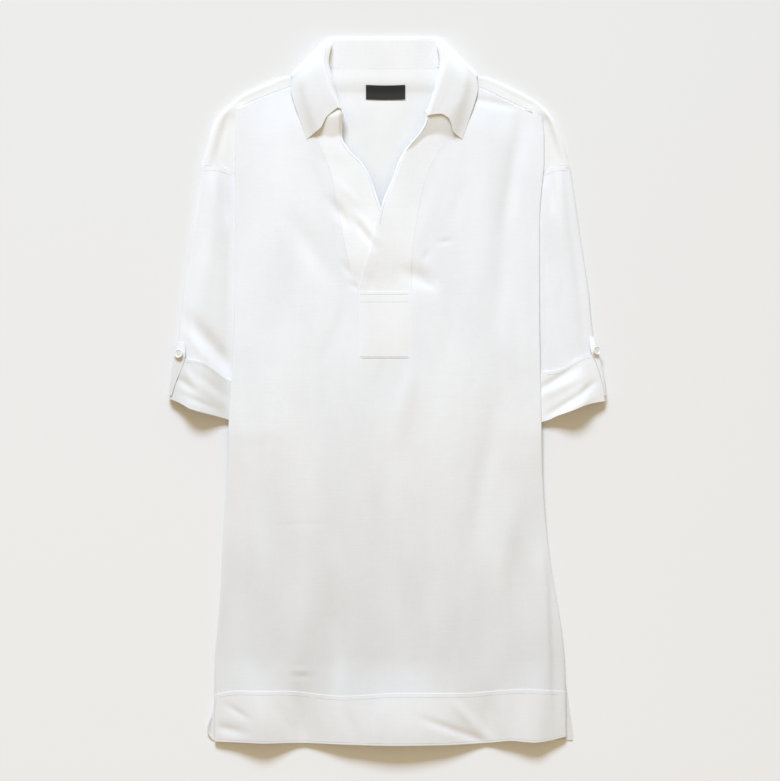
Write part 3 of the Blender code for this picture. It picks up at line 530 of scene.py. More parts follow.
# Small folds of the hem band, in the same columns
HEM_FOLDS = (
    (-206, -410, -182, -425, 4, -1.8),
    (-224, -436, -188, -444, 6, -2.4),
    (-168, -402, -160, -452, 9, 1.4),
    (-146, -404, -128, -440, 6, -1),
    (-116, -400, -106, -456, 6, -1.6),
    (-92, -402, -86, -440, 7, 0.9),
    (-60, -408, -40, -450, 8, -0.9),
    (-8, -404, -2, -452, 9, 0.9),
    (52, -428, 126, -456, 5, -2.4),
    (88, -408, 128, -452, 6, 2.2),
    (128, -399, 130, -456, 9, -2.4),
    (152, -404, 150, -450, 7, 1.3),
    (186, -402, 190, -452, 7, -1),
)

# Small folds on the sleeves and cuffs, in the same columns
ARM_FOLDS = (
    (-248, 82, -200, 22, 10, -5.6),
    (-258, 70, -214, 14, 7, 1.6),
    (-217, 270, -208, 222, 4.5, -2),
    (-226, 270, -220, 180, 6, 1.2),
    (-232, 190, -246, 80, 9, 1.2),
    (-206, 200, -206, 90, 6, -1.2),
    (-240, 230, -252, 130, 7, -0.9),
    (-262, 26, -250, 7, 4, 1.4),
    (-270, 14, -252, 0, 5, -2.4),
    (-246, 20, -214, -6, 5, -1),
    (-240, 4, -208, -24, 6, 0.9),
    (-262, -8, -226, -24, 4, -1.3),
    (214, 272, 215, 236, 4, -2),
    (224, 276, 226, 190, 6, 1.2),
    (207, 210, 206, 70, 4.5, -1.3),
    (230, 200, 244, 80, 9, 1.1),
    (240, 220, 252, 120, 7, -0.9),
    (218, 120, 224, 50, 7, -1.1),
    (201, 2, 240, 26, 5, -2.8),
    (204, -8, 246, 14, 5.5, 1.4),
    (211, -31, 250, -6, 4.5, -2.4),
    (250, -6, 266, 8, 4.5, -2.2),
    (222, -36, 262, -12, 5, 1.6),
)

# Small folds of the yoke and the back seen through the neck, in the same columns
YOKE_FOLDS = (
    (-30, 372, -26, 300, 12, 0.5),
    (24, 372, 16, 300, 10, -0.4),
    (-206, 352, -222, 300, 5, -1.4),
    (-216, 352, -232, 300, 5, 1),
    (206, 344, 222, 298, 5, -1.3),
    (214, 350, 230, 300, 5, 1),
    (140, 392, 190, 368, 4, -0.3),
    (-190, 372, -150, 390, 4, -0.25),
)

# Crest of the front below the collar: place across, height
HOLLOW_CREST = (
    (-130, 322),
    (-104.6, 324.4),
    (-87, 328.3),
    (-71.5, 325.7),
    (-59, 329.6),
    (-50, 331),
    (15, 300),
    (21.5, 307.5),
    (32.9, 312.7),
    (43.6, 322.1),
    (55.3, 329.2),
    (66.3, 330.5),
    (80, 326.3),
    (94.3, 322.1),
    (120, 320),
)
HOLLOW_RISE = 7.6
HOLLOW_RUN = 26.0
HOLLOW_REACH = 104.0
HOLLOW_SIDE = 16.0

# Arch of each collar leaf's front edge: part of the way from roll to tip, left, right
LEAF_ARCH = (
    (0, 3.8, -5),
    (0.14, 9, 1),
    (0.3, 9, 7.5),
    (0.42, 8.3, 11.5),
    (0.5, 5, 12.8),
    (0.6, 0, 13),
    (0.68, 0, 9),
    (0.75, 0, 0.5),
    (1, 0, 0),
)

# Reach and height of that arch, the leaves' settling, and the roll of the opening's edges
ARCH_ROWS = 2.2
ARCH_RISE = 0.12
ROLL_COLUMN = 2.0
TIP_DROP = 1.6
TIP_START = 2.0 / 3.0
LEAF_SETTLE = 1.9
SETTLE_START = 0.75
SETTLE_Z = 7.0
SETTLE_Z_RUN = 4.0
ROLL_DROP = 4.0
ROLL_RUN = 6.0
ROLL_START = 232.0

# Small waves all over the cloth: run across, run along, shift, rise
WAVES = (
    (61, 210, 0.4, 0.22),
    (-83, 131, 1.9, 0.2),
    (37, -97, 2.7, 0.14),
    (-29, -71, 4.1, 0.1),
    (23, 53, 5.3, 0.07),
)

# Stitches, the points on each row's path, and where the rows run
STITCH_RUN = 2.6
STITCH_STEP = 3.5
STITCH_WIDTH = 0.55
STITCH_RISE = 0.08
STITCH_LIFT = 0.12
STITCH_RINGS = ((0.0, 0.0), (0.2, 1.0), (0.8, 1.0), (1.0, 0.0))
LOOK_DOWN_FROM = 60.0
LEVEL_STEPS = 120
EDGE_STEPS = 60
ARMHOLE_STEPS = 20
CUFF_STEPS = 40
EDGE_STITCH_FOOT = 214.0
EDGE_STITCH_DROP = 6.0
EDGE_STITCHES = (("placket_right", 3, 3.0), ("placket_left", 2, -3.0))
BOX_STITCH_INSET = 1.5
BOX_STITCHES = (BOX_TOP - 2.2, BOX_TOP - 12.0, BOX_FOOT + 2.0)
CUFF_STITCH_INSET = 4.0
CUFF_STITCHES = (("cuff_left", -1, 208.0, 276.0), ("cuff_right", 1, 206.0, 274.0))

# Pieces that carry stitches, in the order in which their stitches are made
STITCHED = (
    "front_hem", "placket_right", "placket_left", "placket_box", "yoke",
    "sleeve_left", "sleeve_right", "cuff_left", "cuff_right")

# Stitch rows along a seam or hem: piece, its table, shift up, start and end across
LEVEL_STITCHES = (
    ("front_hem", HEM_SEAM, -3.0, -218.0, 226.0),
    ("front_hem", HEM_EDGE, 3.2, -220.0, 228.0),
    ("yoke", SHOULDER_SEAM, 2.6, -186.0, -112.0),
    ("yoke", SHOULDER_SEAM, 2.6, 108.0, 188.0),
)

# Stitch rows along an armhole: piece, side, start and end out from the middle, shift up
ARMHOLE_STITCHES = (
    ("yoke", -1, 204.0, 240.0, 3.0),
    ("yoke", 1, 204.0, 236.0, 3.0),
    ("sleeve_left", -1, 202.0, 240.0, -3.5),
    ("sleeve_right", 1, 203.0, 236.0, -3.5),
)

# Counts for the shells of the smaller pieces
FINE_BAND_COLUMNS = 26
FINE_YOKE = 6
FINE_SLEEVE = 9
FINE_LOOP = 5
FINE_TAB = 5
FINE_COLLAR = 6
FINE_LABEL = 8

# Walls of the shells, and their bevelled rims as shares of the wall
SHELL_SHARE = 0.7
HEM_SHELL = 1.2
BOX_CLOTH = 0.6
RIM_SHARE = 0.3
PLAIN_RIM_SHARE = 0.05
RIM_ANGLE = 1.0

# Laps and rises of pieces over the ones beside them
HEM_LAP = 1.8
HEM_RAISE = 0.7
BOX_LAP = 1.0
BOX_RAISE = 0.6
BOX_SIDE_RAISE = 0.08
BOX_SIDE_RUN = 7.0
LAP_CLOSE = 45.0

# Reach of folds past their ends, shares of their rise, and of the yoke's height beside the front
FOLD_REACH = 0.3
FOLD_SHARE = 0.72
FRONT_FOLD_SHARE = 2.3
FOLD_FLATTEN = 0.72

# Where the front's middle, the folds inside the neck and those on upper sides come in
INNER_START = 55.0
INNER_RUN = 60.0
NECK_REACH = 100.0
INSIDE_LIFT = 0.4
UPPER_SIDE = 3.0

# Button's fine form
BUTTON_FINE_SEGMENTS = 64
HOLE_SEGMENTS = 16
HOLE_RADIUS = 0.62
HOLE_PLACE = 1.9
THREAD_SPREAD = 0.25
SHARP_ANGLE = 0.6

# Cut of each sheet that shows: node, width, length, area, what it rests on
SHEETS = (
    ("back", 450, 680, 232500, ("floor",)),
    ("back_hem", 470, 61, 27800, ("floor",)),
    ("yoke", 490, 210, 74500, ("floor",)),
    ("sleeve_left", 235, 245, 55500, ("floor",)),
    ("sleeve_right", 235, 240, 52500, ("floor",)),
    ("cuff_left", 270, 64, 16000, ("floor",)),
    ("cuff_right", 272, 68, 17500, ("floor",)),
    ("tab_left", 14, 76, 900, ("cuff_left", "sleeve_left")),
    ("tab_right", 13, 80, 800, ("cuff_right", "sleeve_right")),
    ("front", 470, 800, 302000, ("back", "yoke", "sleeve_left", "sleeve_right")),
    ("front_hem", 470, 66, 30500, ("back_hem",)),
    ("placket_left", 80, 285, 12300, ("yoke",)),
    ("placket_right", 85, 285, 12200, ("yoke", "placket_left")),
    ("placket_box", 68, 85, 5700, ("front",)),
    ("collar_stand", 320, 36, 7000, ("yoke",)),
    ("collar", 500, 62, 23000, ("front", "yoke")),
    ("neck_label", 51.5, 19, 954, ("yoke",)),
)

# Material slot of each node
SLOTS = {part["node"]: part["material_slot"] for part in frame["record"]["subparts"]}

# Threads of the weave and soft creases, in turns for each metre
SLUB_ACROSS = 800.0
SLUB_ALONG = 30.0
SOFT_SCALE = (18.0, 10.8, 18.0)
FINE_SCALE = (72.0, 46.8, 54.0)
WEAVE = (("Scale", 300.0), ("Distortion", 1.2), ("Detail", 1.0), ("Detail Scale", 3.0))
ARM_TURN = 0.14

# The linen's tones by piece, how far its threads differ, and the ends of a pattern's tones
LINEN_SINGLE = (0.90, 0.892, 0.905)
LINEN_DOUBLE = (0.92, 0.91, 0.91)
# Collar: darker, as painted shade on the slopes of its leaves
LINEN_COLLAR_PAINTED_SHADE = (0.86, 0.848, 0.842)
# Left cuff and its strap: darker still, as painted shade
LINEN_LEFT_CUFF_PAINTED_SHADE = (0.81, 0.798, 0.79)
LINEN_HEM = (0.955, 0.94, 0.945)
# Yoke: a warmer tint, as painted warm fill light where it lies deep in the neck
LINEN_INSIDE_PAINTED_WARM_LIGHT = (0.905, 0.885, 0.868)
TONE_SPREAD = 0.975
PATTERN_ENDS = (0.3, 0.7)

# Painted shade: share of the linen's tone towards the hem, between two heights in metres, and in soft
# clouds
PAINTED_SHADE_LOW_SHARE = 0.9
LINEN_LOW = -0.42
LINEN_HIGH = 0.0
# Painted shade in soft clouds, standing for the faint shading of the front's folds
SHADE_CLOUD_SHARE = 0.955
SHADE_CLOUD_RANGE = (0.36, 0.64)
SHADE_CLOUD_SCALE = (19.0, 6.5, 19.0)

# Tones of the thread, the label and the buttons
THREAD = (0.86, 0.85, 0.85)
LABEL_BLACK = (0.006, 0.006, 0.0065)
BUTTON_WHITE = (0.86, 0.85, 0.82)

# Bumps of the linen, from the widest: distance, strength; and its other surface values
LINEN_BUMPS = ((0.004, 0.22), (0.0012, 0.16), (0.0005, 0.25), (0.0003, 0.3))
LINEN_SURFACE = (
    ("Roughness", 0.85), ("Specular IOR Level", 0.25), ("Sheen Weight", 0.2), ("Sheen Roughness", 0.5))

# Other finishes: tone, shares of it in the pattern, pattern's scale, detail, bump, roughness, sheen
FINISHES = {
    "thread": (THREAD, (0.9, 1.0), (2600.0, 2600.0, 900.0), 2.0, (0.0001, 0.5), 0.7, 0.0),
    "label_satin": (LABEL_BLACK, (1.0, 2.2), (300.0, 2400.0, 300.0), 2.0, (0.0002, 0.4), 0.55, 0.1),
    "button_white": (BUTTON_WHITE, (0.9, 1.0), (420.0, 300.0, 420.0), 3.0, (0.0001, 0.2), 0.28, 0.0),
}

# Floor: its tones beyond the collar and beyond the hem, the latter lighter as painted light against the
# key's falloff, half its side in metres, and its drop
FLOOR_REACH = 3.0
FLOOR_GAP = 0.05
FLOOR_TONE_FAR = (0.785, 0.762, 0.738)
FLOOR_TONE_NEAR_PAINTED_LIGHT = (0.94, 0.925, 0.93)
FLOOR_FAR = 0.5
FLOOR_NEAR = -0.5
FLOOR_GRAIN = 0.04
FLOOR_GRAIN_SCALE = (900.0, 900.0, 900.0)
FLOOR_SURFACE = (("Roughness", 0.95), ("Specular IOR Level", 0.1))

# Camera and light
IMAGE_WIDTH = 1.014
VIEW_X = 3.17
VIEW_Y = -0.4
CAMERA_HEIGHT = 2.8
SENSOR = 36.0
KEY_HEIGHT = 3.5
KEY_AWAY = 5.1
KEY_SIZE = 1.6
KEY_WIDTH = 2.56
KEY_POWER = 488.0
KEY_TONE = (0.65, 0.8, 1.0)
KEY_SIDE = -0.6
FILL_STRENGTH = 0.52
FILL_TONE = (1.0, 0.82, 0.53, 1.0)


def smooth(value):
    """Ease from 0 to 1 over the same range."""
    value = np.clip(value, 0.0, 1.0)
    return value * value * (3.0 - 2.0 * value)


def mix(start, end, part):
    """The value that lies a part of the way from start to end."""
    return start + (end - start) * part


def parts(count):
    """Even steps from 0 to 1."""
    return np.linspace(0.0, 1.0, count + 1)


def pick(side, left, right):
    """The left or the right one of two values."""
    return left if side < 0 else right


def half_turn(count):
    """Sines and cosines at even steps over half a turn."""
    return [(math.sin(math.pi * part), math.cos(math.pi * part)) for part in parts(count)]


def mirrored(out, side):
    """Place across of a distance out from the neck's middle, on one side."""
    return NECK_MIDDLE + side * out


def course(part, run, start, start_slope, end, end_slope):
    """Smooth course between two values, with a slope at each."""
    square = part * part
    cube = square * part
    return (
        start * (2.0 * cube - 3.0 * square + 1.0)
        + start_slope * run * (cube - 2.0 * square + part)
        + end * (3.0 * square - 2.0 * cube)
        + end_slope * run * (cube - square)
    )


def along(table, place, column):
    """A column's values at places in the first column, on a smooth curve."""
    rows = np.array(table, float)
    keys = rows[:, 0]
    values = rows[:, column]
    runs = np.diff(keys)
    rises = np.diff(values) / runs
    same = rises[:-1] * rises[1:] > 0.0
    total = np.where(same, rises[:-1] + rises[1:], 1.0)
    inner = np.where(same, 2.0 * rises[:-1] * rises[1:] / total, 0.0)
    slopes = np.concatenate((rises[:1], inner, rises[-1:]))
    place = np.clip(place, keys[0], keys[-1])
    at = np.clip(np.searchsorted(keys, place, side="right") - 1, 0, len(keys) - 2)
    part = (place - keys[at]) / runs[at]
    return course(part, runs[at], values[at], slopes[at], values[at + 1], slopes[at + 1])


def folds_at(table, x, y):
    """Sum of soft troughs and ridges, each one fading out towards its ends."""
    total = 0.0
    for x0, y0, x1, y1, spread, rise in table:
        dx = x1 - x0
        dy = y1 - y0
        length = math.hypot(dx, dy)
        part = ((x - x0) * dx + (y - y0) * dy) / length ** 2
        away = ((x - x0) * dy - (y - y0) * dx) / length / spread
        reach = FOLD_REACH + spread / length
        fade = smooth((part + reach) / (2.0 * reach)) * smooth((1.0 + reach - part) / (2.0 * reach))
        total = total + rise * FOLD_SHARE * np.exp(-away * away) * fade
    return total


def waves_at(x, y):
    """Sum of the small waves."""
    total = 0.0
    for across, length, shift, rise in WAVES:
        total = total + rise * np.sin(x / across * 2.0 + y / length * 2.0 + shift)
    return total


def front_edge(y, side):
    """Place across of the front's side edge."""
    return along(SIDE_FOLDS, y, pick(side, 1, 2))


def lip_top(y):
    """Height of the front's folded side edges."""
    return along(SIDE_FOLDS, y, 3) + SEAM_GAP + 2.0 * LIP_RADIUS


def neck_rise(x, y):
    """Rise of the front towards the edges of its opening."""
    left = np.abs(x - along(PLACKET, y, 2))
    right = np.abs(x - along(PLACKET, y, 3))
    reach = smooth((y - BOX_TOP) / NECK_RISE_GROWTH)
    return NECK_RISE * reach * (1.0 - smooth(np.minimum(left, right) / NECK_RISE_RUN))


def side_crease(x, y):
    """Ridge and step of the fold beside the right outline."""
    past = x - along(SIDE_CREASE, y, 1)
    grown = smooth((SIDE_CREASE_START - y) / (SIDE_CREASE_START - SIDE_CREASE_FULL))
    climb = smooth((past + SIDE_CREASE_RUN) / SIDE_CREASE_RUN)
    return SIDE_CREASE_RISE * grown * climb * (1.0 - smooth(past / SIDE_CREASE_DROP))


def hollow(x, y):
    """Rise of the front up to the underside of each collar leaf, north of its crest."""
    past = y - along(HOLLOW_CREST, x, 1)
    near = smooth((HOLLOW_REACH - np.abs(x - NECK_MIDDLE)) / HOLLOW_SIDE)
    return HOLLOW_RISE * near * np.clip(past / HOLLOW_RUN, 0.0, 1.0)


def front_height(x, y):
    """Height of the front's upper face, with its small folds."""
    near = np.minimum(x - along(SIDE_FOLDS, y, 1), along(SIDE_FOLDS, y, 2) - x)
    edge = mix(lip_top(y), along(INNER_HEIGHTS, y, 1), smooth((near - INNER_START) / INNER_RUN))
    below_shoulder = along(SHOULDER_SEAM, x, 1) - y
    crown = CROWN * smooth(near / CROWN_RUN) * smooth((below_shoulder + SHOULDER_START) / SHOULDER_RUN)
    near_edge = smooth(near / EDGE_CALM)
    large = folds_at(FRONT_FOLDS, x, y) * FRONT_FOLD_SHARE + side_crease(x, y)
    waved = smooth((HEM_WAVE_START - y) / (HEM_WAVE_START - HEM_WAVE_FULL))
    coarse = mix(edge + crown + large * near_edge, along(HEM_EDGE, x, 2), waved)
    fine = folds_at(FINE_FOLDS, x, y) + folds_at(HEM_FOLDS, x, y) + waves_at(x, y)
    return coarse + neck_rise(x, y) + fine * near_edge + hollow(x, y)


def on_front(x, y, rise=0.0):
    """Points on the front's upper face, or a rise above it."""
    return np.stack((x, y, front_height(x, y) + rise), axis=-1)


def refined(rows, count, closed=False):
    """A grid with more rows, on smooth courses through the given ones."""
    rows = np.asarray(rows, float)
    if closed:
        rows = np.concatenate((rows[-1:], rows, rows[:2]))
    else:
        rows = np.concatenate((2.0 * rows[:1] - rows[1:2], rows, 2.0 * rows[-1:] - rows[-2:-1]))
    steps = np.diff(rows, axis=0)
    runs = np.maximum(np.linalg.norm(steps, axis=-1, keepdims=True), LEAST_RUN)
    units = steps / runs
    slopes = (units[:-1] * runs[1:] + units[1:] * runs[:-1]) / (runs[:-1] + runs[1:])
    fine = []
    for index in range(len(rows) - 3):
        ends = (rows[index + 1], slopes[index], rows[index + 2], slopes[index + 1])
        fine += [course(step / count, runs[index + 1], *ends) for step in range(count)]
    if not closed:
        fine.append(rows[-2])
    return np.stack(fine)


def refined_both(rows, row_count, column_count, closed=False):
    """A grid made finer both ways. A closed grid is closed along its rows."""
    grid = refined(rows, row_count)
    return np.swapaxes(refined(np.swapaxes(grid, 0, 1), column_count, closed), 0, 1)


def fold_up(grid, table):
    """Small folds and waves on the side of a grid that faces up."""
    x, y, z = np.moveaxis(grid, -1, 0)
    z += (folds_at(table, x, y) + waves_at(x, y)) * smooth((z - UPPER_SIDE) / UPPER_SIDE)
    return grid


def to_scene(points):
    """Drawing points in metres, from the box's middle."""
    return (np.asarray(points, float) - np.array((MIDDLE_X, MIDDLE_Y, 0.0))) * MM


def add_object(name, data):
    """Object of a mesh, camera or light in the scene."""
    made = bpy.data.objects.new(name, data)
    bpy.context.scene.collection.objects.link(made)
    return made


def dress(piece, slot, node=""):
    """Ties a piece to the dress's body and hides the node that it stands for; its slot is not used."""
    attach(piece, "root")
    if node:
        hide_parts(node)
    return piece


def grid_faces(rows, columns, start, flip, closed):
    """Corner numbers of a grid's faces."""
    faces = []
    for row in range(rows - 1):
        for column in range(columns if closed else columns - 1):
            following = (column + 1) % columns
            lower = start + row * columns
            upper = lower + columns
            face = (lower + column, lower + following, upper + following, upper + column)
            faces.append(face[::-1] if flip else face)
    return faces


def cloth_shell(name, grids, thickness, rim_share, material):
    """Thin shell behind the outer faces given by grids of points, in place of the node."""
    points = []
    faces = []
    count = 0
    for grid, flip, closed in grids:
        grid = np.asarray(grid, float)
        rows, columns = grid.shape[:2]
        faces += grid_faces(rows, columns, count, flip, closed)
        points.append(grid.reshape(-1, 3))
        count += rows * columns
    data = bpy.data.meshes.new(name + "_cloth")
    data.from_pydata(to_scene(np.concatenate(points)).tolist(), [], faces)
    mesh = bmesh.new()
    mesh.from_mesh(data)
    bmesh.ops.remove_doubles(mesh, verts=mesh.verts, dist=WELD * MM)
    mesh.to_mesh(data)
    mesh.free()
    piece = add_object(name + "_cloth", data)
    wall = piece.modifiers.new("Wall", "SOLIDIFY")
    wall.thickness = thickness * SHELL_SHARE * MM
    wall.offset = -1.0
    wall.use_rim = True
    rim = piece.modifiers.new("Rim", "BEVEL")
    rim.width = thickness * rim_share * MM
    rim.segments = 3 if rim_share == RIM_SHARE else 1
    rim.limit_method = "ANGLE"
    rim.angle_limit = RIM_ANGLE
    rim.harden_normals = True
    data.materials.append(material)
    data.shade_smooth()
    return dress(piece, SLOTS[name], name)


def lip_section(y, side, raised=0.0):
    """Folded side edge of the front at a height, from the return to the top."""
    low = lip_top(y) - 2.0 * LIP_RADIUS
    centre = front_edge(y, side) - side * LIP_RADIUS
    radius = LIP_RADIUS + raised / 2.0
    points = [(centre - side * LIP_RETURN, y, low), (centre - side * LIP_RETURN / 3.0, y, low)]
    for sine, cosine in half_turn(FINE_LIP_STEPS)[:-1]:
        points.append((centre + side * LIP_RADIUS * sine, y, low + radius * (1.0 - cosine)))
    return np.array(points, float)


def whole_row(part, foot, top, raised=0.0):
    """A whole row of the front below the placket, or of its hem, a part of the way up or down."""
    def height(x):
        return mix(foot(x), top(x), part)

    left_y = height(HEM_SEAM[0][0])
    right_y = height(HEM_SEAM[-1][0])
    left_edge = front_edge(left_y, -1) + LIP_RADIUS
    right_edge = front_edge(right_y, 1) - LIP_RADIUS
    left = mix(left_edge, BOX_LEFT, parts(FINE_LEFT_COLUMNS))[:-1]
    slot = mix(BOX_LEFT, BOX_RIGHT, parts(FINE_SLOT_COLUMNS))[:-1]
    right = mix(BOX_RIGHT, right_edge, parts(FINE_RIGHT_COLUMNS))
    x = np.concatenate((left, slot, right))
    first = lip_section(left_y, -1, raised)
    last = lip_section(right_y, 1, raised)[::-1]
    return np.concatenate((first, on_front(x, height(x), raised), last))


def upper_front_row(part, side):
    """A row of the front beside the placket, from its side edge to the seam."""
    neck = pick(side, NECK_POINT_LEFT, NECK_POINT_RIGHT)
    seam_x = along(PLACKET, mix(BOX_TOP, neck[1], part), pick(side, 1, 4))
    corner_y = pick(side, SHOULDER_SEAM[0][1], SHOULDER_SEAM[-1][1])
    corner_x = front_edge(corner_y, side) - side * LIP_RADIUS
    across = parts(pick(side, FINE_LEFT_COLUMNS, FINE_RIGHT_COLUMNS))
    y = mix(BOX_TOP, along(SHOULDER_SEAM, mix(corner_x, neck[0], across), 1), part)
    x = mix(front_edge(y, side) - side * LIP_RADIUS, seam_x, across)
    return np.concatenate((lip_section(y[0], side), on_front(x, y)))


def hem_seam(x):
    """Lowest line of the front over its hem band."""
    return along(HEM_SEAM, x, 1) + SEAM_GAP


def front_grids():
    """Front panel with its slot for the placket."""
    lower = [whole_row(part, hem_seam, lambda x: BOX_TOP) for part in parts(FINE_LOWER_ROWS)]
    left, right = ([upper_front_row(part, side) for part in parts(FINE_UPPER_ROWS)] for side in SIDES)
    return ((lower, False, False), (left, False, False), (right, True, False))


def front_hem_grids():
    """Doubled band along the foot of the front, lapped over the seam."""
    def top(x):
        return along(HEM_SEAM, x, 1) + HEM_LAP

    def foot(x):
        return along(HEM_EDGE, x, 1)

    rows = [whole_row(part, top, foot, HEM_RAISE) for part in parts(FINE_HEM_ROWS)]
    return ((rows, True, False),)


def placket_grids(side):
    """One band along the opening. The right band laps over the left."""
    neck = pick(side, NECK_POINT_LEFT, NECK_POINT_RIGHT)
    across = parts(FINE_BAND_COLUMNS)
    rows = []
    for part in parts(FINE_UPPER_ROWS):
        seam_y = mix(BOX_TOP + SEAM_GAP, neck[1], part)
        edge_y = mix(BOX_TOP + SEAM_GAP, OPENING_TOP, part)
        seam_x = along(PLACKET, seam_y, pick(side, 1, 4)) - side * SEAM_GAP
        edge_x = along(PLACKET, edge_y, pick(side, 2, 3))
        x = mix(seam_x, edge_x, across)
        y = mix(seam_y, edge_y, across)
        fade = 1.0 - smooth((y - LAP_FADE_START) / LAP_FADE_RUN)
        close = smooth(1.0 - np.abs(x - edge_x) / ROLL_RUN)
        roll = ROLL_DROP * close * close * smooth((y - ROLL_START) / LAP_FADE_RUN)
        lap_edge = along(PLACKET, y, 3)
        inward = smooth((x - lap_edge) / (along(PLACKET, y, 4) - lap_edge))
        shift = (1.0 - inward) * smooth((y - BOX_TOP) / LAP_CLOSE) - pick(side, 1.0, 0.0)
        rows.append(on_front(x, y, LAP * shift * fade - roll))
    return ((rows, side > 0, False),)


def placket_box_grids():
    """Stitched rectangle on the front at the foot of the placket."""
    x = mix(BOX_LEFT, BOX_RIGHT, parts(FINE_BOX_ROWS))
    inward = np.minimum(x - BOX_LEFT, BOX_RIGHT - x)
    rise = mix(BOX_SIDE_RAISE, BOX_RAISE, smooth(inward / BOX_SIDE_RUN))
    heights = mix(BOX_FOOT, BOX_TOP + BOX_LAP, parts(FINE_BOX_ROWS))
    return (([on_front(x, np.full_like(x, y), rise) for y in heights], False, False),)


def armhole(x, shift=0.0):
    """Height of the armhole seam at a place across, moved up by a shift."""
    return along(ARMHOLE, abs(x), 1) + shift


def yoke_seam(x):
    """Height of the yoke's back seam."""
    part = smooth((abs(x) - YOKE_SEAM_FLAT) / (YOKE_SEAM_REACH - YOKE_SEAM_FLAT))
    return mix(YOKE_SEAM_MIDDLE, YOKE_SEAM_SIDE, part)


def yoke_foot(x):
    """Lower edge of the yoke, at the back seam or the armhole."""
    return (armhole(x) if abs(x) > YOKE_SEAM_REACH else yoke_seam(x)) + SEAM_GAP


def neck_lift(x, y):
    """Rise of the yoke's underside over the turned-down collar."""
    up = smooth((y - NECK_LIFT_START) / (NECK_LIFT_FULL - NECK_LIFT_START))
    return NECK_LIFT * up * smooth((NECK_LIFT_REACH - abs(x - NECK_MIDDLE)) / NECK_LIFT_SIDE)


def floor_line(outer, inner_x):
    """Points of the yoke's underside from its outer edge to its back seam."""
    outer = np.array(outer, float)
    inner = np.array((inner_x, yoke_foot(inner_x)), float)
    shares = list(YOKE_FLOOR_PARTS)
    if outer[1] > NECK_LIFT_FULL + NECK_LIFT_NEAR:
        shares[1:3] = (outer[1] - np.array((NECK_LIFT_FULL, NECK_LIFT_START))) / (outer[1] - inner[1])
    places = [mix(outer, inner, share) for share in shares]
    return [(x, y, neck_lift(x, y)) for x, y in places]


def yoke_station(side, index):
    """Underside line and folded-over line of the yoke at one station."""
    left, right, y, fold, reach, front_left, front_right, left_y, right_y = YOKE_STATIONS[index]
    outline = np.array((pick(side, left, right), y), float)
    front = np.array((pick(side, front_left, front_right), pick(side, left_y, right_y)), float)
    on_seam = index >= FIRST_ON_SEAM
    if on_seam:
        fold *= FOLD_FLATTEN
        front[1] = along(SHOULDER_SEAM, front[0], 1) - SHOULDER_LAP
    inward = (front - outline) / math.dist(outline, front)
    base = neck_lift(*outline)
    radius = (fold - base) / 2.0
    edge = outline + inward * radius
    floor = floor_line(edge, side * reach)
    over = []
    for sine, cosine in half_turn(YOKE_FOLD_STEPS):
        over.append((*(outline + inward * radius * (1.0 - sine)), base + radius * (1.0 - cosine)))
    over[0] = floor[0]
    front_z = front_height(*front) - CLOTH if on_seam else UNDER_FRONT_Z
    covered = front_edge(front[1], side) + side * UNDER_FRONT_CLEAR
    under_part = max((covered - edge[0]) / (front[0] - edge[0]), UNDER_FRONT_LEAST)
    low_part = FALL_PART if on_seam else under_part
    low_share = FALL_SHARE if on_seam else 1.0
    for part, fall in ((low_part / 2.0, 0.5), (low_part, low_share), (1.0, 1.0)):
        over.append((*mix(edge, front, part), mix(fold, front_z, fall)))
    if index == 0:
        over = [(x, armhole(x, SEAM_GAP), z) for x, _, z in over]
        floor = [(x, armhole(x, SEAM_GAP), z) for x, _, z in floor]
    return floor, over


def neck_inner_places():
    """Places across where the yoke's middle meets its back seam."""
    reach = YOKE_STATIONS[-1][4] - YOKE_MIDDLE_INSET
    return mix(-reach, reach, parts(BACK_NECK_COLUMNS))


def yoke_grids():
    """Yoke over both shoulders, folded round their outline."""
    left, right = ([yoke_station(side, index) for index in range(len(YOKE_STATIONS))] for side in SIDES)
    tops = mix(BACK_NECK[0][0], BACK_NECK[-1][0], parts(BACK_NECK_COLUMNS))
    neck = [floor_line((x, along(BACK_NECK, x, 1)), inner) for x, inner in zip(tops, neck_inner_places())]
    lines = [station[0] for station in left] + neck + [station[0] for station in reversed(right)]
    floor = refined_both(lines, FINE_YOKE, FINE_YOKE)
    x, y, z = np.moveaxis(floor, -1, 0)
    inside = smooth((NECK_REACH - np.abs(x - NECK_MIDDLE)) / NECK_REACH)
    inside = inside * smooth((NECK_LIFT_START - y) / NECK_LIFT_SIDE)
    small = folds_at(YOKE_FOLDS, x, y) + waves_at(x, y) + INSIDE_LIFT
    z[:] = np.maximum(z, 0.0) + np.maximum(small, 0.0) * inside
    over = [refined_both([line for _, line in half], FINE_YOKE, FINE_YOKE) for half in (left, right)]
    over = [fold_up(grid, YOKE_FOLDS) for grid in over]
    return ((floor, True, False), (over[0], False, False), (over[1], True, False))


def back_grids():
    """Flat back panel."""
    top_y, top_left, top_right = BACK_EDGES[-1]
    sides = [station[4] for station in YOKE_STATIONS if station[4] < top_right]
    places = [top_left, *(-reach for reach in sides), *neck_inner_places(), *reversed(sides), top_right]
    rows = []
    for height, left, right in BACK_EDGES:
        row = []
        for place in places:
            x = place * (left / top_left if place < 0.0 else right / top_right)
            row.append((x, yoke_seam(x) - SEAM_GAP if height == top_y else height, 0.0))
        rows.append(row)
    return ((refined_both(rows, FINE_BACK_ROWS, FINE_BACK_COLUMNS), True, False),)


def back_hem_grids():
    """Doubled band along the foot of the back, with its left corner turned up."""
    rows = []
    for height, left, right in BACK_HEM_ENDS:
        x = mix(left, right, parts(BACK_HEM_COLUMNS) ** 2)
        rise = CORNER_RISE * smooth((CORNER_START - x) / CORNER_RUN)
        rows.append(np.stack((x, np.full_like(x, height), rise), axis=-1))
    return ((refined(rows, FINE_BACK_ROWS), True, False),)


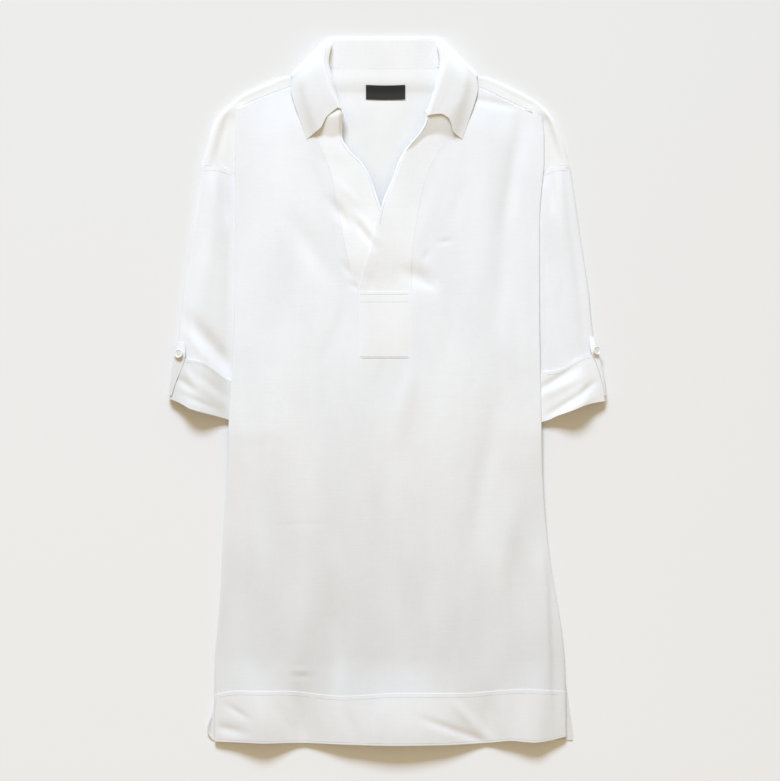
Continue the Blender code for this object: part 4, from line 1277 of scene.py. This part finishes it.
def arm_loop(side, outer, inner, fold, edge, crest, low):
    """Section of a sleeve or cuff: places across and heights, once round."""
    inner_radius = low / 2.0
    outer_radius = edge / 2.0
    outer_start = outer - side * outer_radius
    inner_start = inner + side * inner_radius
    loop = [(x, 0.0) for x in mix(inner_start, outer_start, parts(ARM_FLOOR_COLUMNS))]
    for sine, cosine in half_turn(ARM_OUTER_STEPS)[1:-1]:
        loop.append((outer_start + side * outer_radius * sine, outer_radius * (1.0 - cosine)))
    for part in parts(ARM_TOP_COLUMNS):
        climb = mix(edge, crest, smooth(part / CREST_PLACE))
        fall = mix(crest, low, smooth((part - CREST_PLACE) / (1.0 - CREST_PLACE)))
        loop.append((mix(outer_start, fold, part), climb if part < CREST_PLACE else fall))
    loop += [(mix(fold, inner_start, 0.5), low), (inner_start, low)]
    for sine, cosine in half_turn(ARM_INNER_STEPS)[1:-1]:
        loop.append((inner_start - side * inner_radius * sine, inner_radius * (1.0 + cosine)))
    return loop


def arm_sections(side, count, heights, inner, crests, edge, low):
    """Sections down a sleeve or cuff: part of the way, outer edge and points once round."""
    for part in parts(count):
        y = mix(*heights, part)
        outer = along(ARM_OUTLINE, y, pick(side, 1, 2))
        fold = front_edge(y, side) - side * FOLD_INSET
        loop = arm_loop(side, outer, side * mix(*inner, part), fold, edge, mix(*crests, part), low)
        yield part, outer, loop


def arm_grids(side, rows):
    """Fine tube of a sleeve or cuff with its small folds."""
    return ((fold_up(refined_both(rows, FINE_SLEEVE, FINE_LOOP, True), ARM_FOLDS), side < 0, True),)


def cuff_end(x, side, foot):
    """Height of a cuff's upper end or foot at a place across."""
    return along(CUFF_ENDS, abs(x), pick(side, 1, 3) + int(foot))


def sleeve_grids(side):
    """Sleeve from the armhole to the cuff, open at both ends."""
    sections = arm_sections(
        side, SLEEVE_ROWS, SLEEVE_HEIGHTS, SLEEVE_INNER, SLEEVE_CRESTS, SLEEVE_EDGE, SLEEVE_LOW)
    rows = []
    for part, outer, loop in sections:
        row = []
        for x, z in loop:
            upper = smooth((z - CLOTH) / CLOTH)
            inside = upper * smooth((abs(outer - x) - ARMHOLE_RIM) / ARMHOLE_RIM)
            top = armhole(x, ARMHOLE_LAP * inside - ARMHOLE_GAP)
            end = cuff_end(x, side, False) - SLEEVE_TUCK * upper + SEAM_GAP
            sink = ARMHOLE_SINK * inside * (1.0 - smooth(part * SLEEVE_ROWS))
            row.append((x, mix(top, end, part), z - sink))
        rows.append(row)
    return arm_grids(side, rows)


def cuff_grids(side):
    """Rolled cuff, open at both ends."""
    sections = arm_sections(side, CUFF_ROWS, CUFF_HEIGHTS, CUFF_INNER, CUFF_CRESTS, CUFF_EDGE, CUFF_LOW)
    rows = []
    for part, _, loop in sections:
        rows.append([(x, mix(cuff_end(x, side, False), cuff_end(x, side, True), part), z) for x, z in loop])
    return arm_grids(side, rows)


def tab_point(side, y, run, on_cuff, lift):
    """A point over the sleeve or cuff, at a run in from its outer turn."""
    x = along(ARM_OUTLINE, y, pick(side, 1, 2))
    top = cuff_end(x, side, False)
    part = min(max((top - y) / (top - cuff_end(x, side, True)), 0.0), 1.0)
    sleeve_part = (SLEEVE_HEIGHTS[0] - y) / (SLEEVE_HEIGHTS[0] - SLEEVE_HEIGHTS[1])
    edge = mix(SLEEVE_EDGE, CUFF_EDGE, on_cuff)
    crest = mix(mix(*SLEEVE_CRESTS, sleeve_part), mix(*CUFF_CRESTS, part), on_cuff)
    radius = edge / 2.0
    away = 2.0 * SEAM_GAP + CLOTH + lift
    turn_start = x - side * radius
    if run < 0.0:
        turn = -run / (radius + away)
        across = turn_start + side * (radius + away) * math.sin(turn)
        return (across, y, radius + (radius + away) * math.cos(turn))
    fold = front_edge(y, side) - side * FOLD_INSET
    climb = smooth(run / (abs(turn_start - fold) * CREST_PLACE))
    return (turn_start - side * run, y, mix(edge, crest, climb) + away)


def tab_rows(side):
    """Points of a strap, from its buttoned end to the cuff's foot."""
    rows = []
    for y, inner, outer, on_cuff, lift in pick(side, TAB_LEFT, TAB_RIGHT):
        runs = mix(inner, outer, parts(TAB_COLUMNS))
        rows.append([tab_point(side, y, run, on_cuff, lift) for run in runs])
    return np.array(rows, float)


def tab_grids(side):
    """Strap that holds a rolled cuff."""
    return ((refined_both(tab_rows(side), FINE_TAB, FINE_TAB), side > 0, False),)


def button_seat(side):
    """Place and turn of a button on its strap, its own up away from the cloth."""
    rows = tab_rows(side)
    middle = TAB_COLUMNS // 2
    place = Vector(rows[BUTTON_ROW][middle])
    length = Vector(rows[BUTTON_ROW + 1][middle] - rows[BUTTON_ROW - 1][middle])
    outward = length.cross(Vector(rows[BUTTON_ROW][-1] - rows[BUTTON_ROW][0])).normalized()
    if outward.z < 0.0:
        outward.negate()
    turn = outward.to_track_quat("Z", "Y").to_matrix().to_4x4()
    return Matrix.Translation(Vector(to_scene(place + outward * BUTTON_SEAT))) @ turn


def lathe(name, profile, segments):
    """Round closed body from a profile of radii and heights."""
    mesh = bmesh.new()
    rings = []
    for radius, height in profile:
        turns = [2.0 * math.pi * step / segments for step in range(segments)]
        places = [Vector((math.cos(turn) * radius, math.sin(turn) * radius, height)) for turn in turns]
        rings.append([mesh.verts.new(place * MM) for place in places])
    for lower, upper in zip(rings, rings[1:]):
        for step in range(segments):
            following = (step + 1) % segments
            mesh.faces.new((lower[step], lower[following], upper[following], upper[step]))
    mesh.faces.new(list(reversed(rings[0])))
    mesh.faces.new(rings[-1])
    data = bpy.data.meshes.new(name)
    mesh.to_mesh(data)
    mesh.free()
    return add_object(name, data)


def make_button(name, side, material, thread):
    """Dished button with four holes and its thread, on a strap."""
    seat = button_seat(side)
    profile = [(r * BUTTON_RADIUS, h * BUTTON_THICKNESS) for r, h in BUTTON_PROFILE]
    button = lathe(name + "_disc", profile, BUTTON_FINE_SEGMENTS)
    button.data.materials.append(material)
    cutters = []
    for step in range(4):
        around = math.pi * (0.25 + step / 2.0)
        hole = [(HOLE_RADIUS, -1.0), (HOLE_RADIUS, BUTTON_THICKNESS + 1.0)]
        cutter = lathe(name + "_hole", hole, HOLE_SEGMENTS)
        across = (math.cos(around) * HOLE_PLACE * MM, math.sin(around) * HOLE_PLACE * MM, 0.0)
        cutter.matrix_world = Matrix.Translation(across)
        button.modifiers.new("Hole", "BOOLEAN").object = cutter
        cutters.append(cutter)
    bpy.context.view_layer.update()
    whole = bpy.data.meshes.new_from_object(button.evaluated_get(bpy.context.evaluated_depsgraph_get()))
    button.modifiers.clear()
    button.data = whole
    for cutter in cutters:
        bpy.data.objects.remove(cutter)
    button.data.shade_smooth()
    button.data.set_sharp_from_angle(angle=SHARP_ANGLE)
    button.matrix_world = seat
    dress(button, "button", name)
    reach = HOLE_PLACE * math.sqrt(0.5)
    top = BUTTON_THICKNESS * BUTTON_PROFILE[-1][1]
    up = seat.to_3x3() @ Vector((0.0, 0.0, 1.0))
    strands = []
    for way in (-1.0, 1.0):
        for shift in (-THREAD_SPREAD, THREAD_SPREAD):
            start = Vector((-reach + shift, -reach * way, top))
            end = Vector((reach + shift, reach * way, top))
            strands.append((seat @ (start * MM), seat @ (end * MM), up))
    thread_piece(name + "_thread", strands, thread, "button")


def seam_pull(station):
    """How far the roll covers the stand's top at the sides of the neck."""
    _, seam_y, seam_z = station[:3]
    high = smooth((seam_z - SEAM_PULL_Z) / SEAM_PULL_Z_RUN)
    return SEAM_PULL * high * smooth((seam_y - SEAM_PULL_Y) / SEAM_PULL_Y_RUN)


def collar_line(station, side):
    """Points across the collar, from the stand's seam over the roll to its edge."""
    (seam_out, seam_y, seam_z, roll_out, roll_y, roll_z,
     turn_z, middle_z, outer_out, outer_y, outer_z) = station
    seam = Vector((mirrored(seam_out - seam_pull(station), side), seam_y, seam_z))
    roll = Vector((mirrored(roll_out, side), roll_y, roll_z))
    outer = Vector((mirrored(outer_out, side), outer_y, outer_z))
    run = Vector((outer.x - roll.x, outer.y - roll.y, 0.0)).normalized()
    turn = roll + run * COLLAR_TURN
    turn.z = turn_z
    before = seam.lerp(roll, BEFORE_ROLL)
    before.z = mix(seam_z, roll_z, ROLLED_RISE if seam_z > roll_z else FLAT_RISE)
    after = roll.lerp(turn, AFTER_ROLL)
    after.z = mix(roll_z, turn_z, AFTER_ROLL_RISE)
    line = [seam, before, roll, after, turn]
    for part in COLLAR_STEPS:
        point = turn.lerp(outer, part)
        near = mix(turn_z, middle_z, smooth(part * 2.0))
        point.z = near if part < 0.5 else mix(middle_z, outer_z, smooth(part * 2.0 - 1.0))
        line.append(point)
    return [tuple(point) for point in line]


def arched(grid):
    """The collar with the front edge of each leaf arched up and its tip let down."""
    rows, columns = grid.shape[:2]
    roll_column = int(ROLL_COLUMN * FINE_COLLAR)
    seamward = np.clip(np.arange(columns) / roll_column, 0.0, 1.0)
    for side in SIDES:
        for away in range(int(ARCH_ROWS * FINE_COLLAR)):
            line = grid[pick(side, away, rows - 1 - away)]
            run = np.hypot(*(line[:, :2] - line[roll_column, :2]).T)
            part = np.where(seamward < 1.0, 0.0, run / run[-1])
            near = smooth(1.0 - away / (ARCH_ROWS * FINE_COLLAR)) * seamward
            pull = along(LEAF_ARCH, part, pick(side, 1, 2))
            line[:, 1] += pull * near * near
            drop = TIP_DROP * smooth((part - TIP_START) / (1.0 - TIP_START))
            line[:, 2] += (np.maximum(pull, 0.0) * ARCH_RISE - drop) * near
    return grid


def both_leaves(line_of, *tables):
    """Fine grid from lines on the left side, then on the right, along the collar."""
    stations = list(zip(*tables))
    lines = [line_of(*station, -1) for station in reversed(stations)]
    lines += [line_of(*station, 1) for station in stations[1:]]
    return refined_both(lines, FINE_COLLAR, FINE_COLLAR)


def collar_grids():
    """Fall of the collar, turned down behind the neck and onto the front."""
    grid = arched(both_leaves(collar_line, COLLAR_STATIONS))
    outer = smooth((np.linspace(0.0, 1.0, grid.shape[1]) - SETTLE_START) / (1.0 - SETTLE_START))
    grid[:, :, 2] -= LEAF_SETTLE * outer * smooth((grid[:, :, 2] - SETTLE_Z) / SETTLE_Z_RUN)
    return ((grid, True, False),)


def stand_line(foot_station, station, side):
    """Points up the stand from its foot to the collar's seam."""
    out, y, z = foot_station
    foot = Vector((mirrored(out, side), y - (0.0 if y < FOOT_SIDE else FOOT_TUCK), z))
    back = 0.0 if station[6] > station[2] else SEAM_GAP
    top_x = mirrored(station[0] - seam_pull(station), side)
    top = Vector((top_x, station[1] - back, station[2] - STAND_DROP))
    return [tuple(foot.lerp(top, part)) for part in parts(STAND_STEPS)]


def collar_stand_grids():
    """Band that stands between the neck and the collar."""
    return ((both_leaves(stand_line, STAND_FEET, COLLAR_STATIONS), False, False),)


def label_grids():
    """Plain label on the inside of the yoke."""
    rows = []
    for y in mix(LABEL_FOOT, LABEL_TOP, parts(FINE_LABEL)):
        row = []
        for part in parts(2 * FINE_LABEL):
            x = mix(LABEL_LEFT, LABEL_RIGHT, part)
            level = neck_lift(x, y) + CLOTH + 2.0 * SEAM_GAP + LABEL_CLOTH
            row.append((x, y - LABEL_BOW * math.sin(part * math.pi), level))
        rows.append(row)
    return ((rows, False, False),)


def thread_piece(name, strands, material, slot):
    """Short flat threads, each from start to end with its own up direction."""
    points = []
    faces = []
    for start, end, up in strands:
        side = (end - start).normalized().cross(up).normalized() * (STITCH_WIDTH * MM / 2.0)
        top = up.normalized() * (STITCH_RISE * MM)
        first = len(points)
        for part, height in STITCH_RINGS:
            place = start.lerp(end, part)
            points += [place - side, place + top * height, place + side]
        for low in range(first, first + 9, 3):
            faces += [(low, low + 3, low + 4, low + 1), (low + 1, low + 4, low + 5, low + 2),
                      (low + 2, low + 5, low + 3, low)]
        faces += [(first, first + 1, first + 2), (first + 9, first + 11, first + 10)]
    data = bpy.data.meshes.new(name)
    data.from_pydata([tuple(point) for point in points], [], faces)
    data.materials.append(material)
    data.shade_smooth()
    return dress(add_object(name, data), slot)


def stitch_row(surface, path, strands):
    """Stitches along a path of places across and heights, laid on a surface from above."""
    path = np.array(path, float)
    steps = np.hypot(np.diff(path[:, 0]), np.diff(path[:, 1]))
    reach = np.concatenate(((0.0,), np.cumsum(steps)))
    start = 0.0
    while start + STITCH_RUN < reach[-1]:
        ends = []
        for place in (start, start + STITCH_RUN):
            x = np.interp(place, reach, path[:, 0])
            y = np.interp(place, reach, path[:, 1])
            above = Vector(to_scene((x, y, LOOK_DOWN_FROM)))
            hit, normal, _, _ = surface.ray_cast(above, Vector((0.0, 0.0, -1.0)))
            if hit:
                ends.append((hit, normal))
        if len(ends) == 2:
            up = (ends[0][1] + ends[1][1]).normalized()
            lift = up * (STITCH_LIFT * MM)
            strands.append((ends[0][0] + lift, ends[1][0] + lift, up))
        start += STITCH_STEP


def stitch_paths():
    """Every row of stitches: the piece it is on and its path."""
    for name, table, shift, start, end in LEVEL_STITCHES:
        yield name, [(x, along(table, x, 1) + shift) for x in np.linspace(start, end, LEVEL_STEPS)]
    heights = np.linspace(EDGE_STITCH_FOOT, OPENING_TOP - EDGE_STITCH_DROP, EDGE_STEPS)
    for name, column, inset in EDGE_STITCHES:
        yield name, [(along(PLACKET, y, column) + inset, y) for y in heights]
    for y in BOX_STITCHES:
        yield "placket_box", [(BOX_LEFT + BOX_STITCH_INSET, y), (BOX_RIGHT - BOX_STITCH_INSET, y)]
    for name, side, start, end, shift in ARMHOLE_STITCHES:
        across = np.linspace(start, end, ARMHOLE_STEPS)
        yield name, [(side * x, armhole(x, shift)) for x in across]
    for name, side, start, end in CUFF_STITCHES:
        across = np.linspace(start, end, CUFF_STEPS)
        yield name, [(side * x, cuff_end(x, side, False) - CUFF_STITCH_INSET) for x in across]


def add_stitching(pieces, thread):
    """Rows of stitches along the seams, hems and edges."""
    rows = list(stitch_paths())
    for name in STITCHED:
        surface = BVHTree.FromObject(pieces[name], bpy.context.evaluated_depsgraph_get())
        strands = []
        for path in [path for on, path in rows if on == name]:
            stitch_row(surface, path, strands)
        thread_piece(name + "_stitches", strands, thread, "linen")


def feed(tree, node, inputs):
    """Sets inputs of a shader node to values, or links them to other nodes' outputs."""
    for name, value in inputs:
        if isinstance(value, bpy.types.NodeSocket):
            tree.links.new(value, node.inputs[name])
        else:
            node.inputs[name].default_value = value


def add_node(tree, kind, inputs=(), **settings):
    """A shader node with its settings and inputs."""
    made = tree.nodes.new(kind)
    for name, value in settings.items():
        setattr(made, name, value)
    feed(tree, made, inputs)
    return made


def worked(tree, operation, *values):
    """Result of a sum on values or outputs."""
    return add_node(tree, "ShaderNodeMath", enumerate(values), operation=operation).outputs[0]


def ranged(tree, value, start, end, low=0.0, **settings):
    """A value from start to end, brought to low at the start and 1 at the end."""
    inputs = (("Value", value), ("From Min", start), ("From Max", end), ("To Min", low))
    return add_node(tree, "ShaderNodeMapRange", inputs, **settings).outputs["Result"]


def noise_at(tree, coordinates, scale, detail, turn=0.0):
    """Noise stretched by its own scale along each axis."""
    turned = (("Vector", coordinates), ("Rotation", (0.0, 0.0, turn)), ("Scale", scale))
    mapping = add_node(tree, "ShaderNodeMapping", turned)
    inputs = (("Vector", mapping.outputs["Vector"]), ("Scale", 1.0), ("Detail", detail))
    return add_node(tree, "ShaderNodeTexNoise", inputs).outputs["Fac"]


def weave_at(tree, coordinates, turn, direction):
    """Fine waves of the threads that run one way."""
    mapping = add_node(tree, "ShaderNodeMapping", (("Vector", coordinates), ("Rotation", (0.0, 0.0, turn))))
    inputs = (("Vector", mapping.outputs["Vector"]), *WEAVE)
    return add_node(tree, "ShaderNodeTexWave", inputs, bands_direction=direction).outputs["Fac"]


def bumps_over(tree, shader, bumps):
    """Bumps of heights, each over the one before, on a shader's surface."""
    before = ()
    for height, (distance, strength) in bumps:
        inputs = (("Strength", strength), ("Distance", distance), ("Height", height), *before)
        before = (("Normal", add_node(tree, "ShaderNodeBump", inputs).outputs["Normal"]),)
    feed(tree, shader, before)


def new_material(name):
    """Empty material with its tree, shader and object coordinates."""
    material = bpy.data.materials.new(name)
    material.use_nodes = True
    tree = material.node_tree
    coordinates = add_node(tree, "ShaderNodeTexCoord").outputs["Object"]
    return material, tree, tree.nodes["Principled BSDF"], coordinates


def tone_between(tree, amount, dark, light, ends=PATTERN_ENDS):
    """Colour between two tones by an amount."""
    node = add_node(tree, "ShaderNodeValToRGB", (("Fac", amount),))
    for element, place, tone in zip(node.color_ramp.elements, ends, (dark, light)):
        element.position = place
        element.color = (*tone, 1.0)
    return node.outputs["Color"]


def linen(name, tone, turn=0.0):
    """Plain-weave linen with uneven threads, soft creases and a faint sheen, darkened by painted shade
    towards the hem and in soft clouds.
    """
    material, tree, shader, coordinates = new_material(name)
    warp = noise_at(tree, coordinates, (SLUB_ACROSS, SLUB_ALONG, SLUB_ALONG), 2.0, turn)
    weft = noise_at(tree, coordinates, (SLUB_ALONG, SLUB_ACROSS, SLUB_ALONG), 2.0, turn)
    threads = worked(tree, "MULTIPLY", worked(tree, "ADD", warp, weft), 0.5)
    place = add_node(tree, "ShaderNodeSeparateXYZ", ((0, coordinates),)).outputs["Y"]
    # Painted shade: the linen's tone falls towards the hem, as the light does
    lower = ranged(
        tree, place, LINEN_LOW, LINEN_HIGH, PAINTED_SHADE_LOW_SHARE, interpolation_type="SMOOTHSTEP")
    # Painted shade in soft clouds, for the faint shading of the folds
    clouds = noise_at(tree, coordinates, SHADE_CLOUD_SCALE, 2.0)
    share = worked(tree, "MULTIPLY", lower, ranged(tree, clouds, *SHADE_CLOUD_RANGE, SHADE_CLOUD_SHARE))
    colour = tone_between(tree, threads, [value * TONE_SPREAD for value in tone], tone)
    shaded = add_node(tree, "ShaderNodeVectorMath", ((0, colour), ("Scale", share)), operation="SCALE")
    weave = worked(tree, "MULTIPLY", *(weave_at(tree, coordinates, turn, way) for way in "XY"))
    soft = noise_at(tree, coordinates, SOFT_SCALE, 4.0, turn)
    fine = noise_at(tree, coordinates, FINE_SCALE, 3.0, turn)
    heights = (soft, fine, threads, weave)
    bumps_over(tree, shader, zip(heights, LINEN_BUMPS))
    feed(tree, shader, (("Base Color", shaded.outputs["Vector"]), *LINEN_SURFACE))
    return material


def patterned(name):
    """Smoother finish of a thread, label or button, with a fine pattern."""
    tone, shares, scale, detail, bump, rough, sheen = FINISHES[name]
    material, tree, shader, coordinates = new_material(name)
    pattern = noise_at(tree, coordinates, scale, detail)
    dark, light = ([value * share for value in tone] for share in shares)
    bumps_over(tree, shader, ((pattern, bump),))
    feed(tree, shader, (("Base Color", tone_between(tree, pattern, dark, light)),
                        ("Roughness", rough), ("Sheen Weight", sheen)))
    return material


def make_floor():
    """Pale surface under the dress, with painted light growing towards the hem and a faint grain."""
    data = bpy.data.meshes.new("floor")
    corners = [(x * FLOOR_REACH, y * FLOOR_REACH, 0.0) for x, y in ((-1, -1), (1, -1), (1, 1), (-1, 1))]
    data.from_pydata(corners, [], [(0, 1, 2, 3)])
    floor = add_object("floor", data)
    floor.location.z = -FLOOR_GAP * MM
    material, tree, shader, coordinates = new_material("floor_paper")
    grain = noise_at(tree, coordinates, FLOOR_GRAIN_SCALE, 2.0)
    y = add_node(tree, "ShaderNodeSeparateXYZ", (("Vector", coordinates),)).outputs["Y"]
    # Painted light: the floor grows lighter towards the hem, making up for the key light's falloff
    rough = worked(tree, "MULTIPLY_ADD", grain, FLOOR_GRAIN, ranged(tree, y, FLOOR_FAR, FLOOR_NEAR))
    tone = tone_between(tree, rough, FLOOR_TONE_FAR, FLOOR_TONE_NEAR_PAINTED_LIGHT, (0.0, 1.0))
    feed(tree, shader, (("Base Color", tone), *FLOOR_SURFACE))
    data.materials.append(material)
    floor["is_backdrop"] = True


def make_view():
    """Camera straight above, a large soft light from beyond the collar, and an even fill."""
    scene = bpy.context.scene
    camera_data = bpy.data.cameras.new("camera")
    camera_data.sensor_width = SENSOR
    camera_data.lens = SENSOR * CAMERA_HEIGHT / IMAGE_WIDTH
    scene.camera = add_object("camera", camera_data)
    scene.camera.location = (VIEW_X * MM, VIEW_Y * MM, CAMERA_HEIGHT)
    key_data = bpy.data.lights.new("key", "AREA")
    key_data.shape = "RECTANGLE"
    key_data.size = KEY_WIDTH
    key_data.size_y = KEY_SIZE
    key_data.energy = KEY_POWER
    key_data.color = KEY_TONE
    key = add_object("key", key_data)
    key.location = (KEY_SIDE, KEY_AWAY, KEY_HEIGHT)
    key.rotation_euler = (-key.location).to_track_quat("-Z", "Y").to_euler()
    scene.world = bpy.data.worlds.new("fill")
    scene.world.use_nodes = True
    background = scene.world.node_tree.nodes["Background"]
    background.inputs["Color"].default_value = FILL_TONE
    background.inputs["Strength"].default_value = FILL_STRENGTH
    scene.view_settings.view_transform = "Standard"


def declare_sheets():
    """Runs through the cut of each piece of cloth, and keeps nothing of it."""
    for name, width, length, area, rests_on in SHEETS:
        list(rests_on)


def write_size():
    """Works out the model's box at the start and now, and keeps neither."""
    bpy.context.view_layer.update()
    boxes = [[list(corner) for corner in box] for box in (BOUNDS_AT_START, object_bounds())]


def main():
    single = linen("linen_single", LINEN_SINGLE)
    double = linen("linen_double", LINEN_DOUBLE)
    left_arm = linen("linen_left_arm", LINEN_SINGLE, ARM_TURN)
    right_arm = linen("linen_right_arm", LINEN_SINGLE, -ARM_TURN)
    # The left cuff and its strap are darker as painted shade
    left_cuff = linen("linen_left_cuff_painted_shade", LINEN_LEFT_CUFF_PAINTED_SHADE, ARM_TURN)
    right_cuff = linen("linen_right_cuff", LINEN_DOUBLE, -ARM_TURN)
    # The collar's linen is darker as painted shade
    turned = linen("linen_collar_painted_shade", LINEN_COLLAR_PAINTED_SHADE)
    banded = linen("linen_hem", LINEN_HEM)
    # The yoke's warmer tint is painted warm light
    inside = linen("linen_inside_painted_warm_light", LINEN_INSIDE_PAINTED_WARM_LIGHT)
    thread = patterned("thread")
    cloth = (
        ("back", back_grids(), CLOTH, RIM_SHARE, single),
        ("back_hem", back_hem_grids(), HEM_CLOTH, RIM_SHARE, double),
        ("yoke", yoke_grids(), CLOTH, RIM_SHARE, inside),
        ("sleeve_left", sleeve_grids(-1), CLOTH, RIM_SHARE, left_arm),
        ("sleeve_right", sleeve_grids(1), CLOTH, RIM_SHARE, right_arm),
        ("cuff_left", cuff_grids(-1), CUFF_CLOTH, RIM_SHARE, left_cuff),
        ("cuff_right", cuff_grids(1), CUFF_CLOTH, RIM_SHARE, right_cuff),
        ("tab_left", tab_grids(-1), CLOTH, RIM_SHARE, left_cuff),
        ("tab_right", tab_grids(1), CLOTH, RIM_SHARE, right_cuff),
        ("front", front_grids(), CLOTH, PLAIN_RIM_SHARE, single),
        ("front_hem", front_hem_grids(), HEM_SHELL, RIM_SHARE, banded),
        ("placket_left", placket_grids(-1), CLOTH, PLAIN_RIM_SHARE, banded),
        ("placket_right", placket_grids(1), CLOTH, PLAIN_RIM_SHARE, double),
        ("placket_box", placket_box_grids(), BOX_CLOTH, PLAIN_RIM_SHARE, double),
        ("collar_stand", collar_stand_grids(), CLOTH, RIM_SHARE, banded),
        ("collar", collar_grids(), COLLAR_CLOTH, RIM_SHARE, turned),
        ("neck_label", label_grids(), LABEL_CLOTH, RIM_SHARE, patterned("label_satin")),
    )
    pieces = {name: cloth_shell(name, *cut) for name, *cut in cloth}
    button = patterned("button_white")
    make_button("button_left", -1, button, thread)
    make_button("button_right", 1, button, thread)
    bpy.context.view_layer.update()
    add_stitching(pieces, thread)
    declare_sheets()
    make_floor()
    make_view()
    write_size()


main()
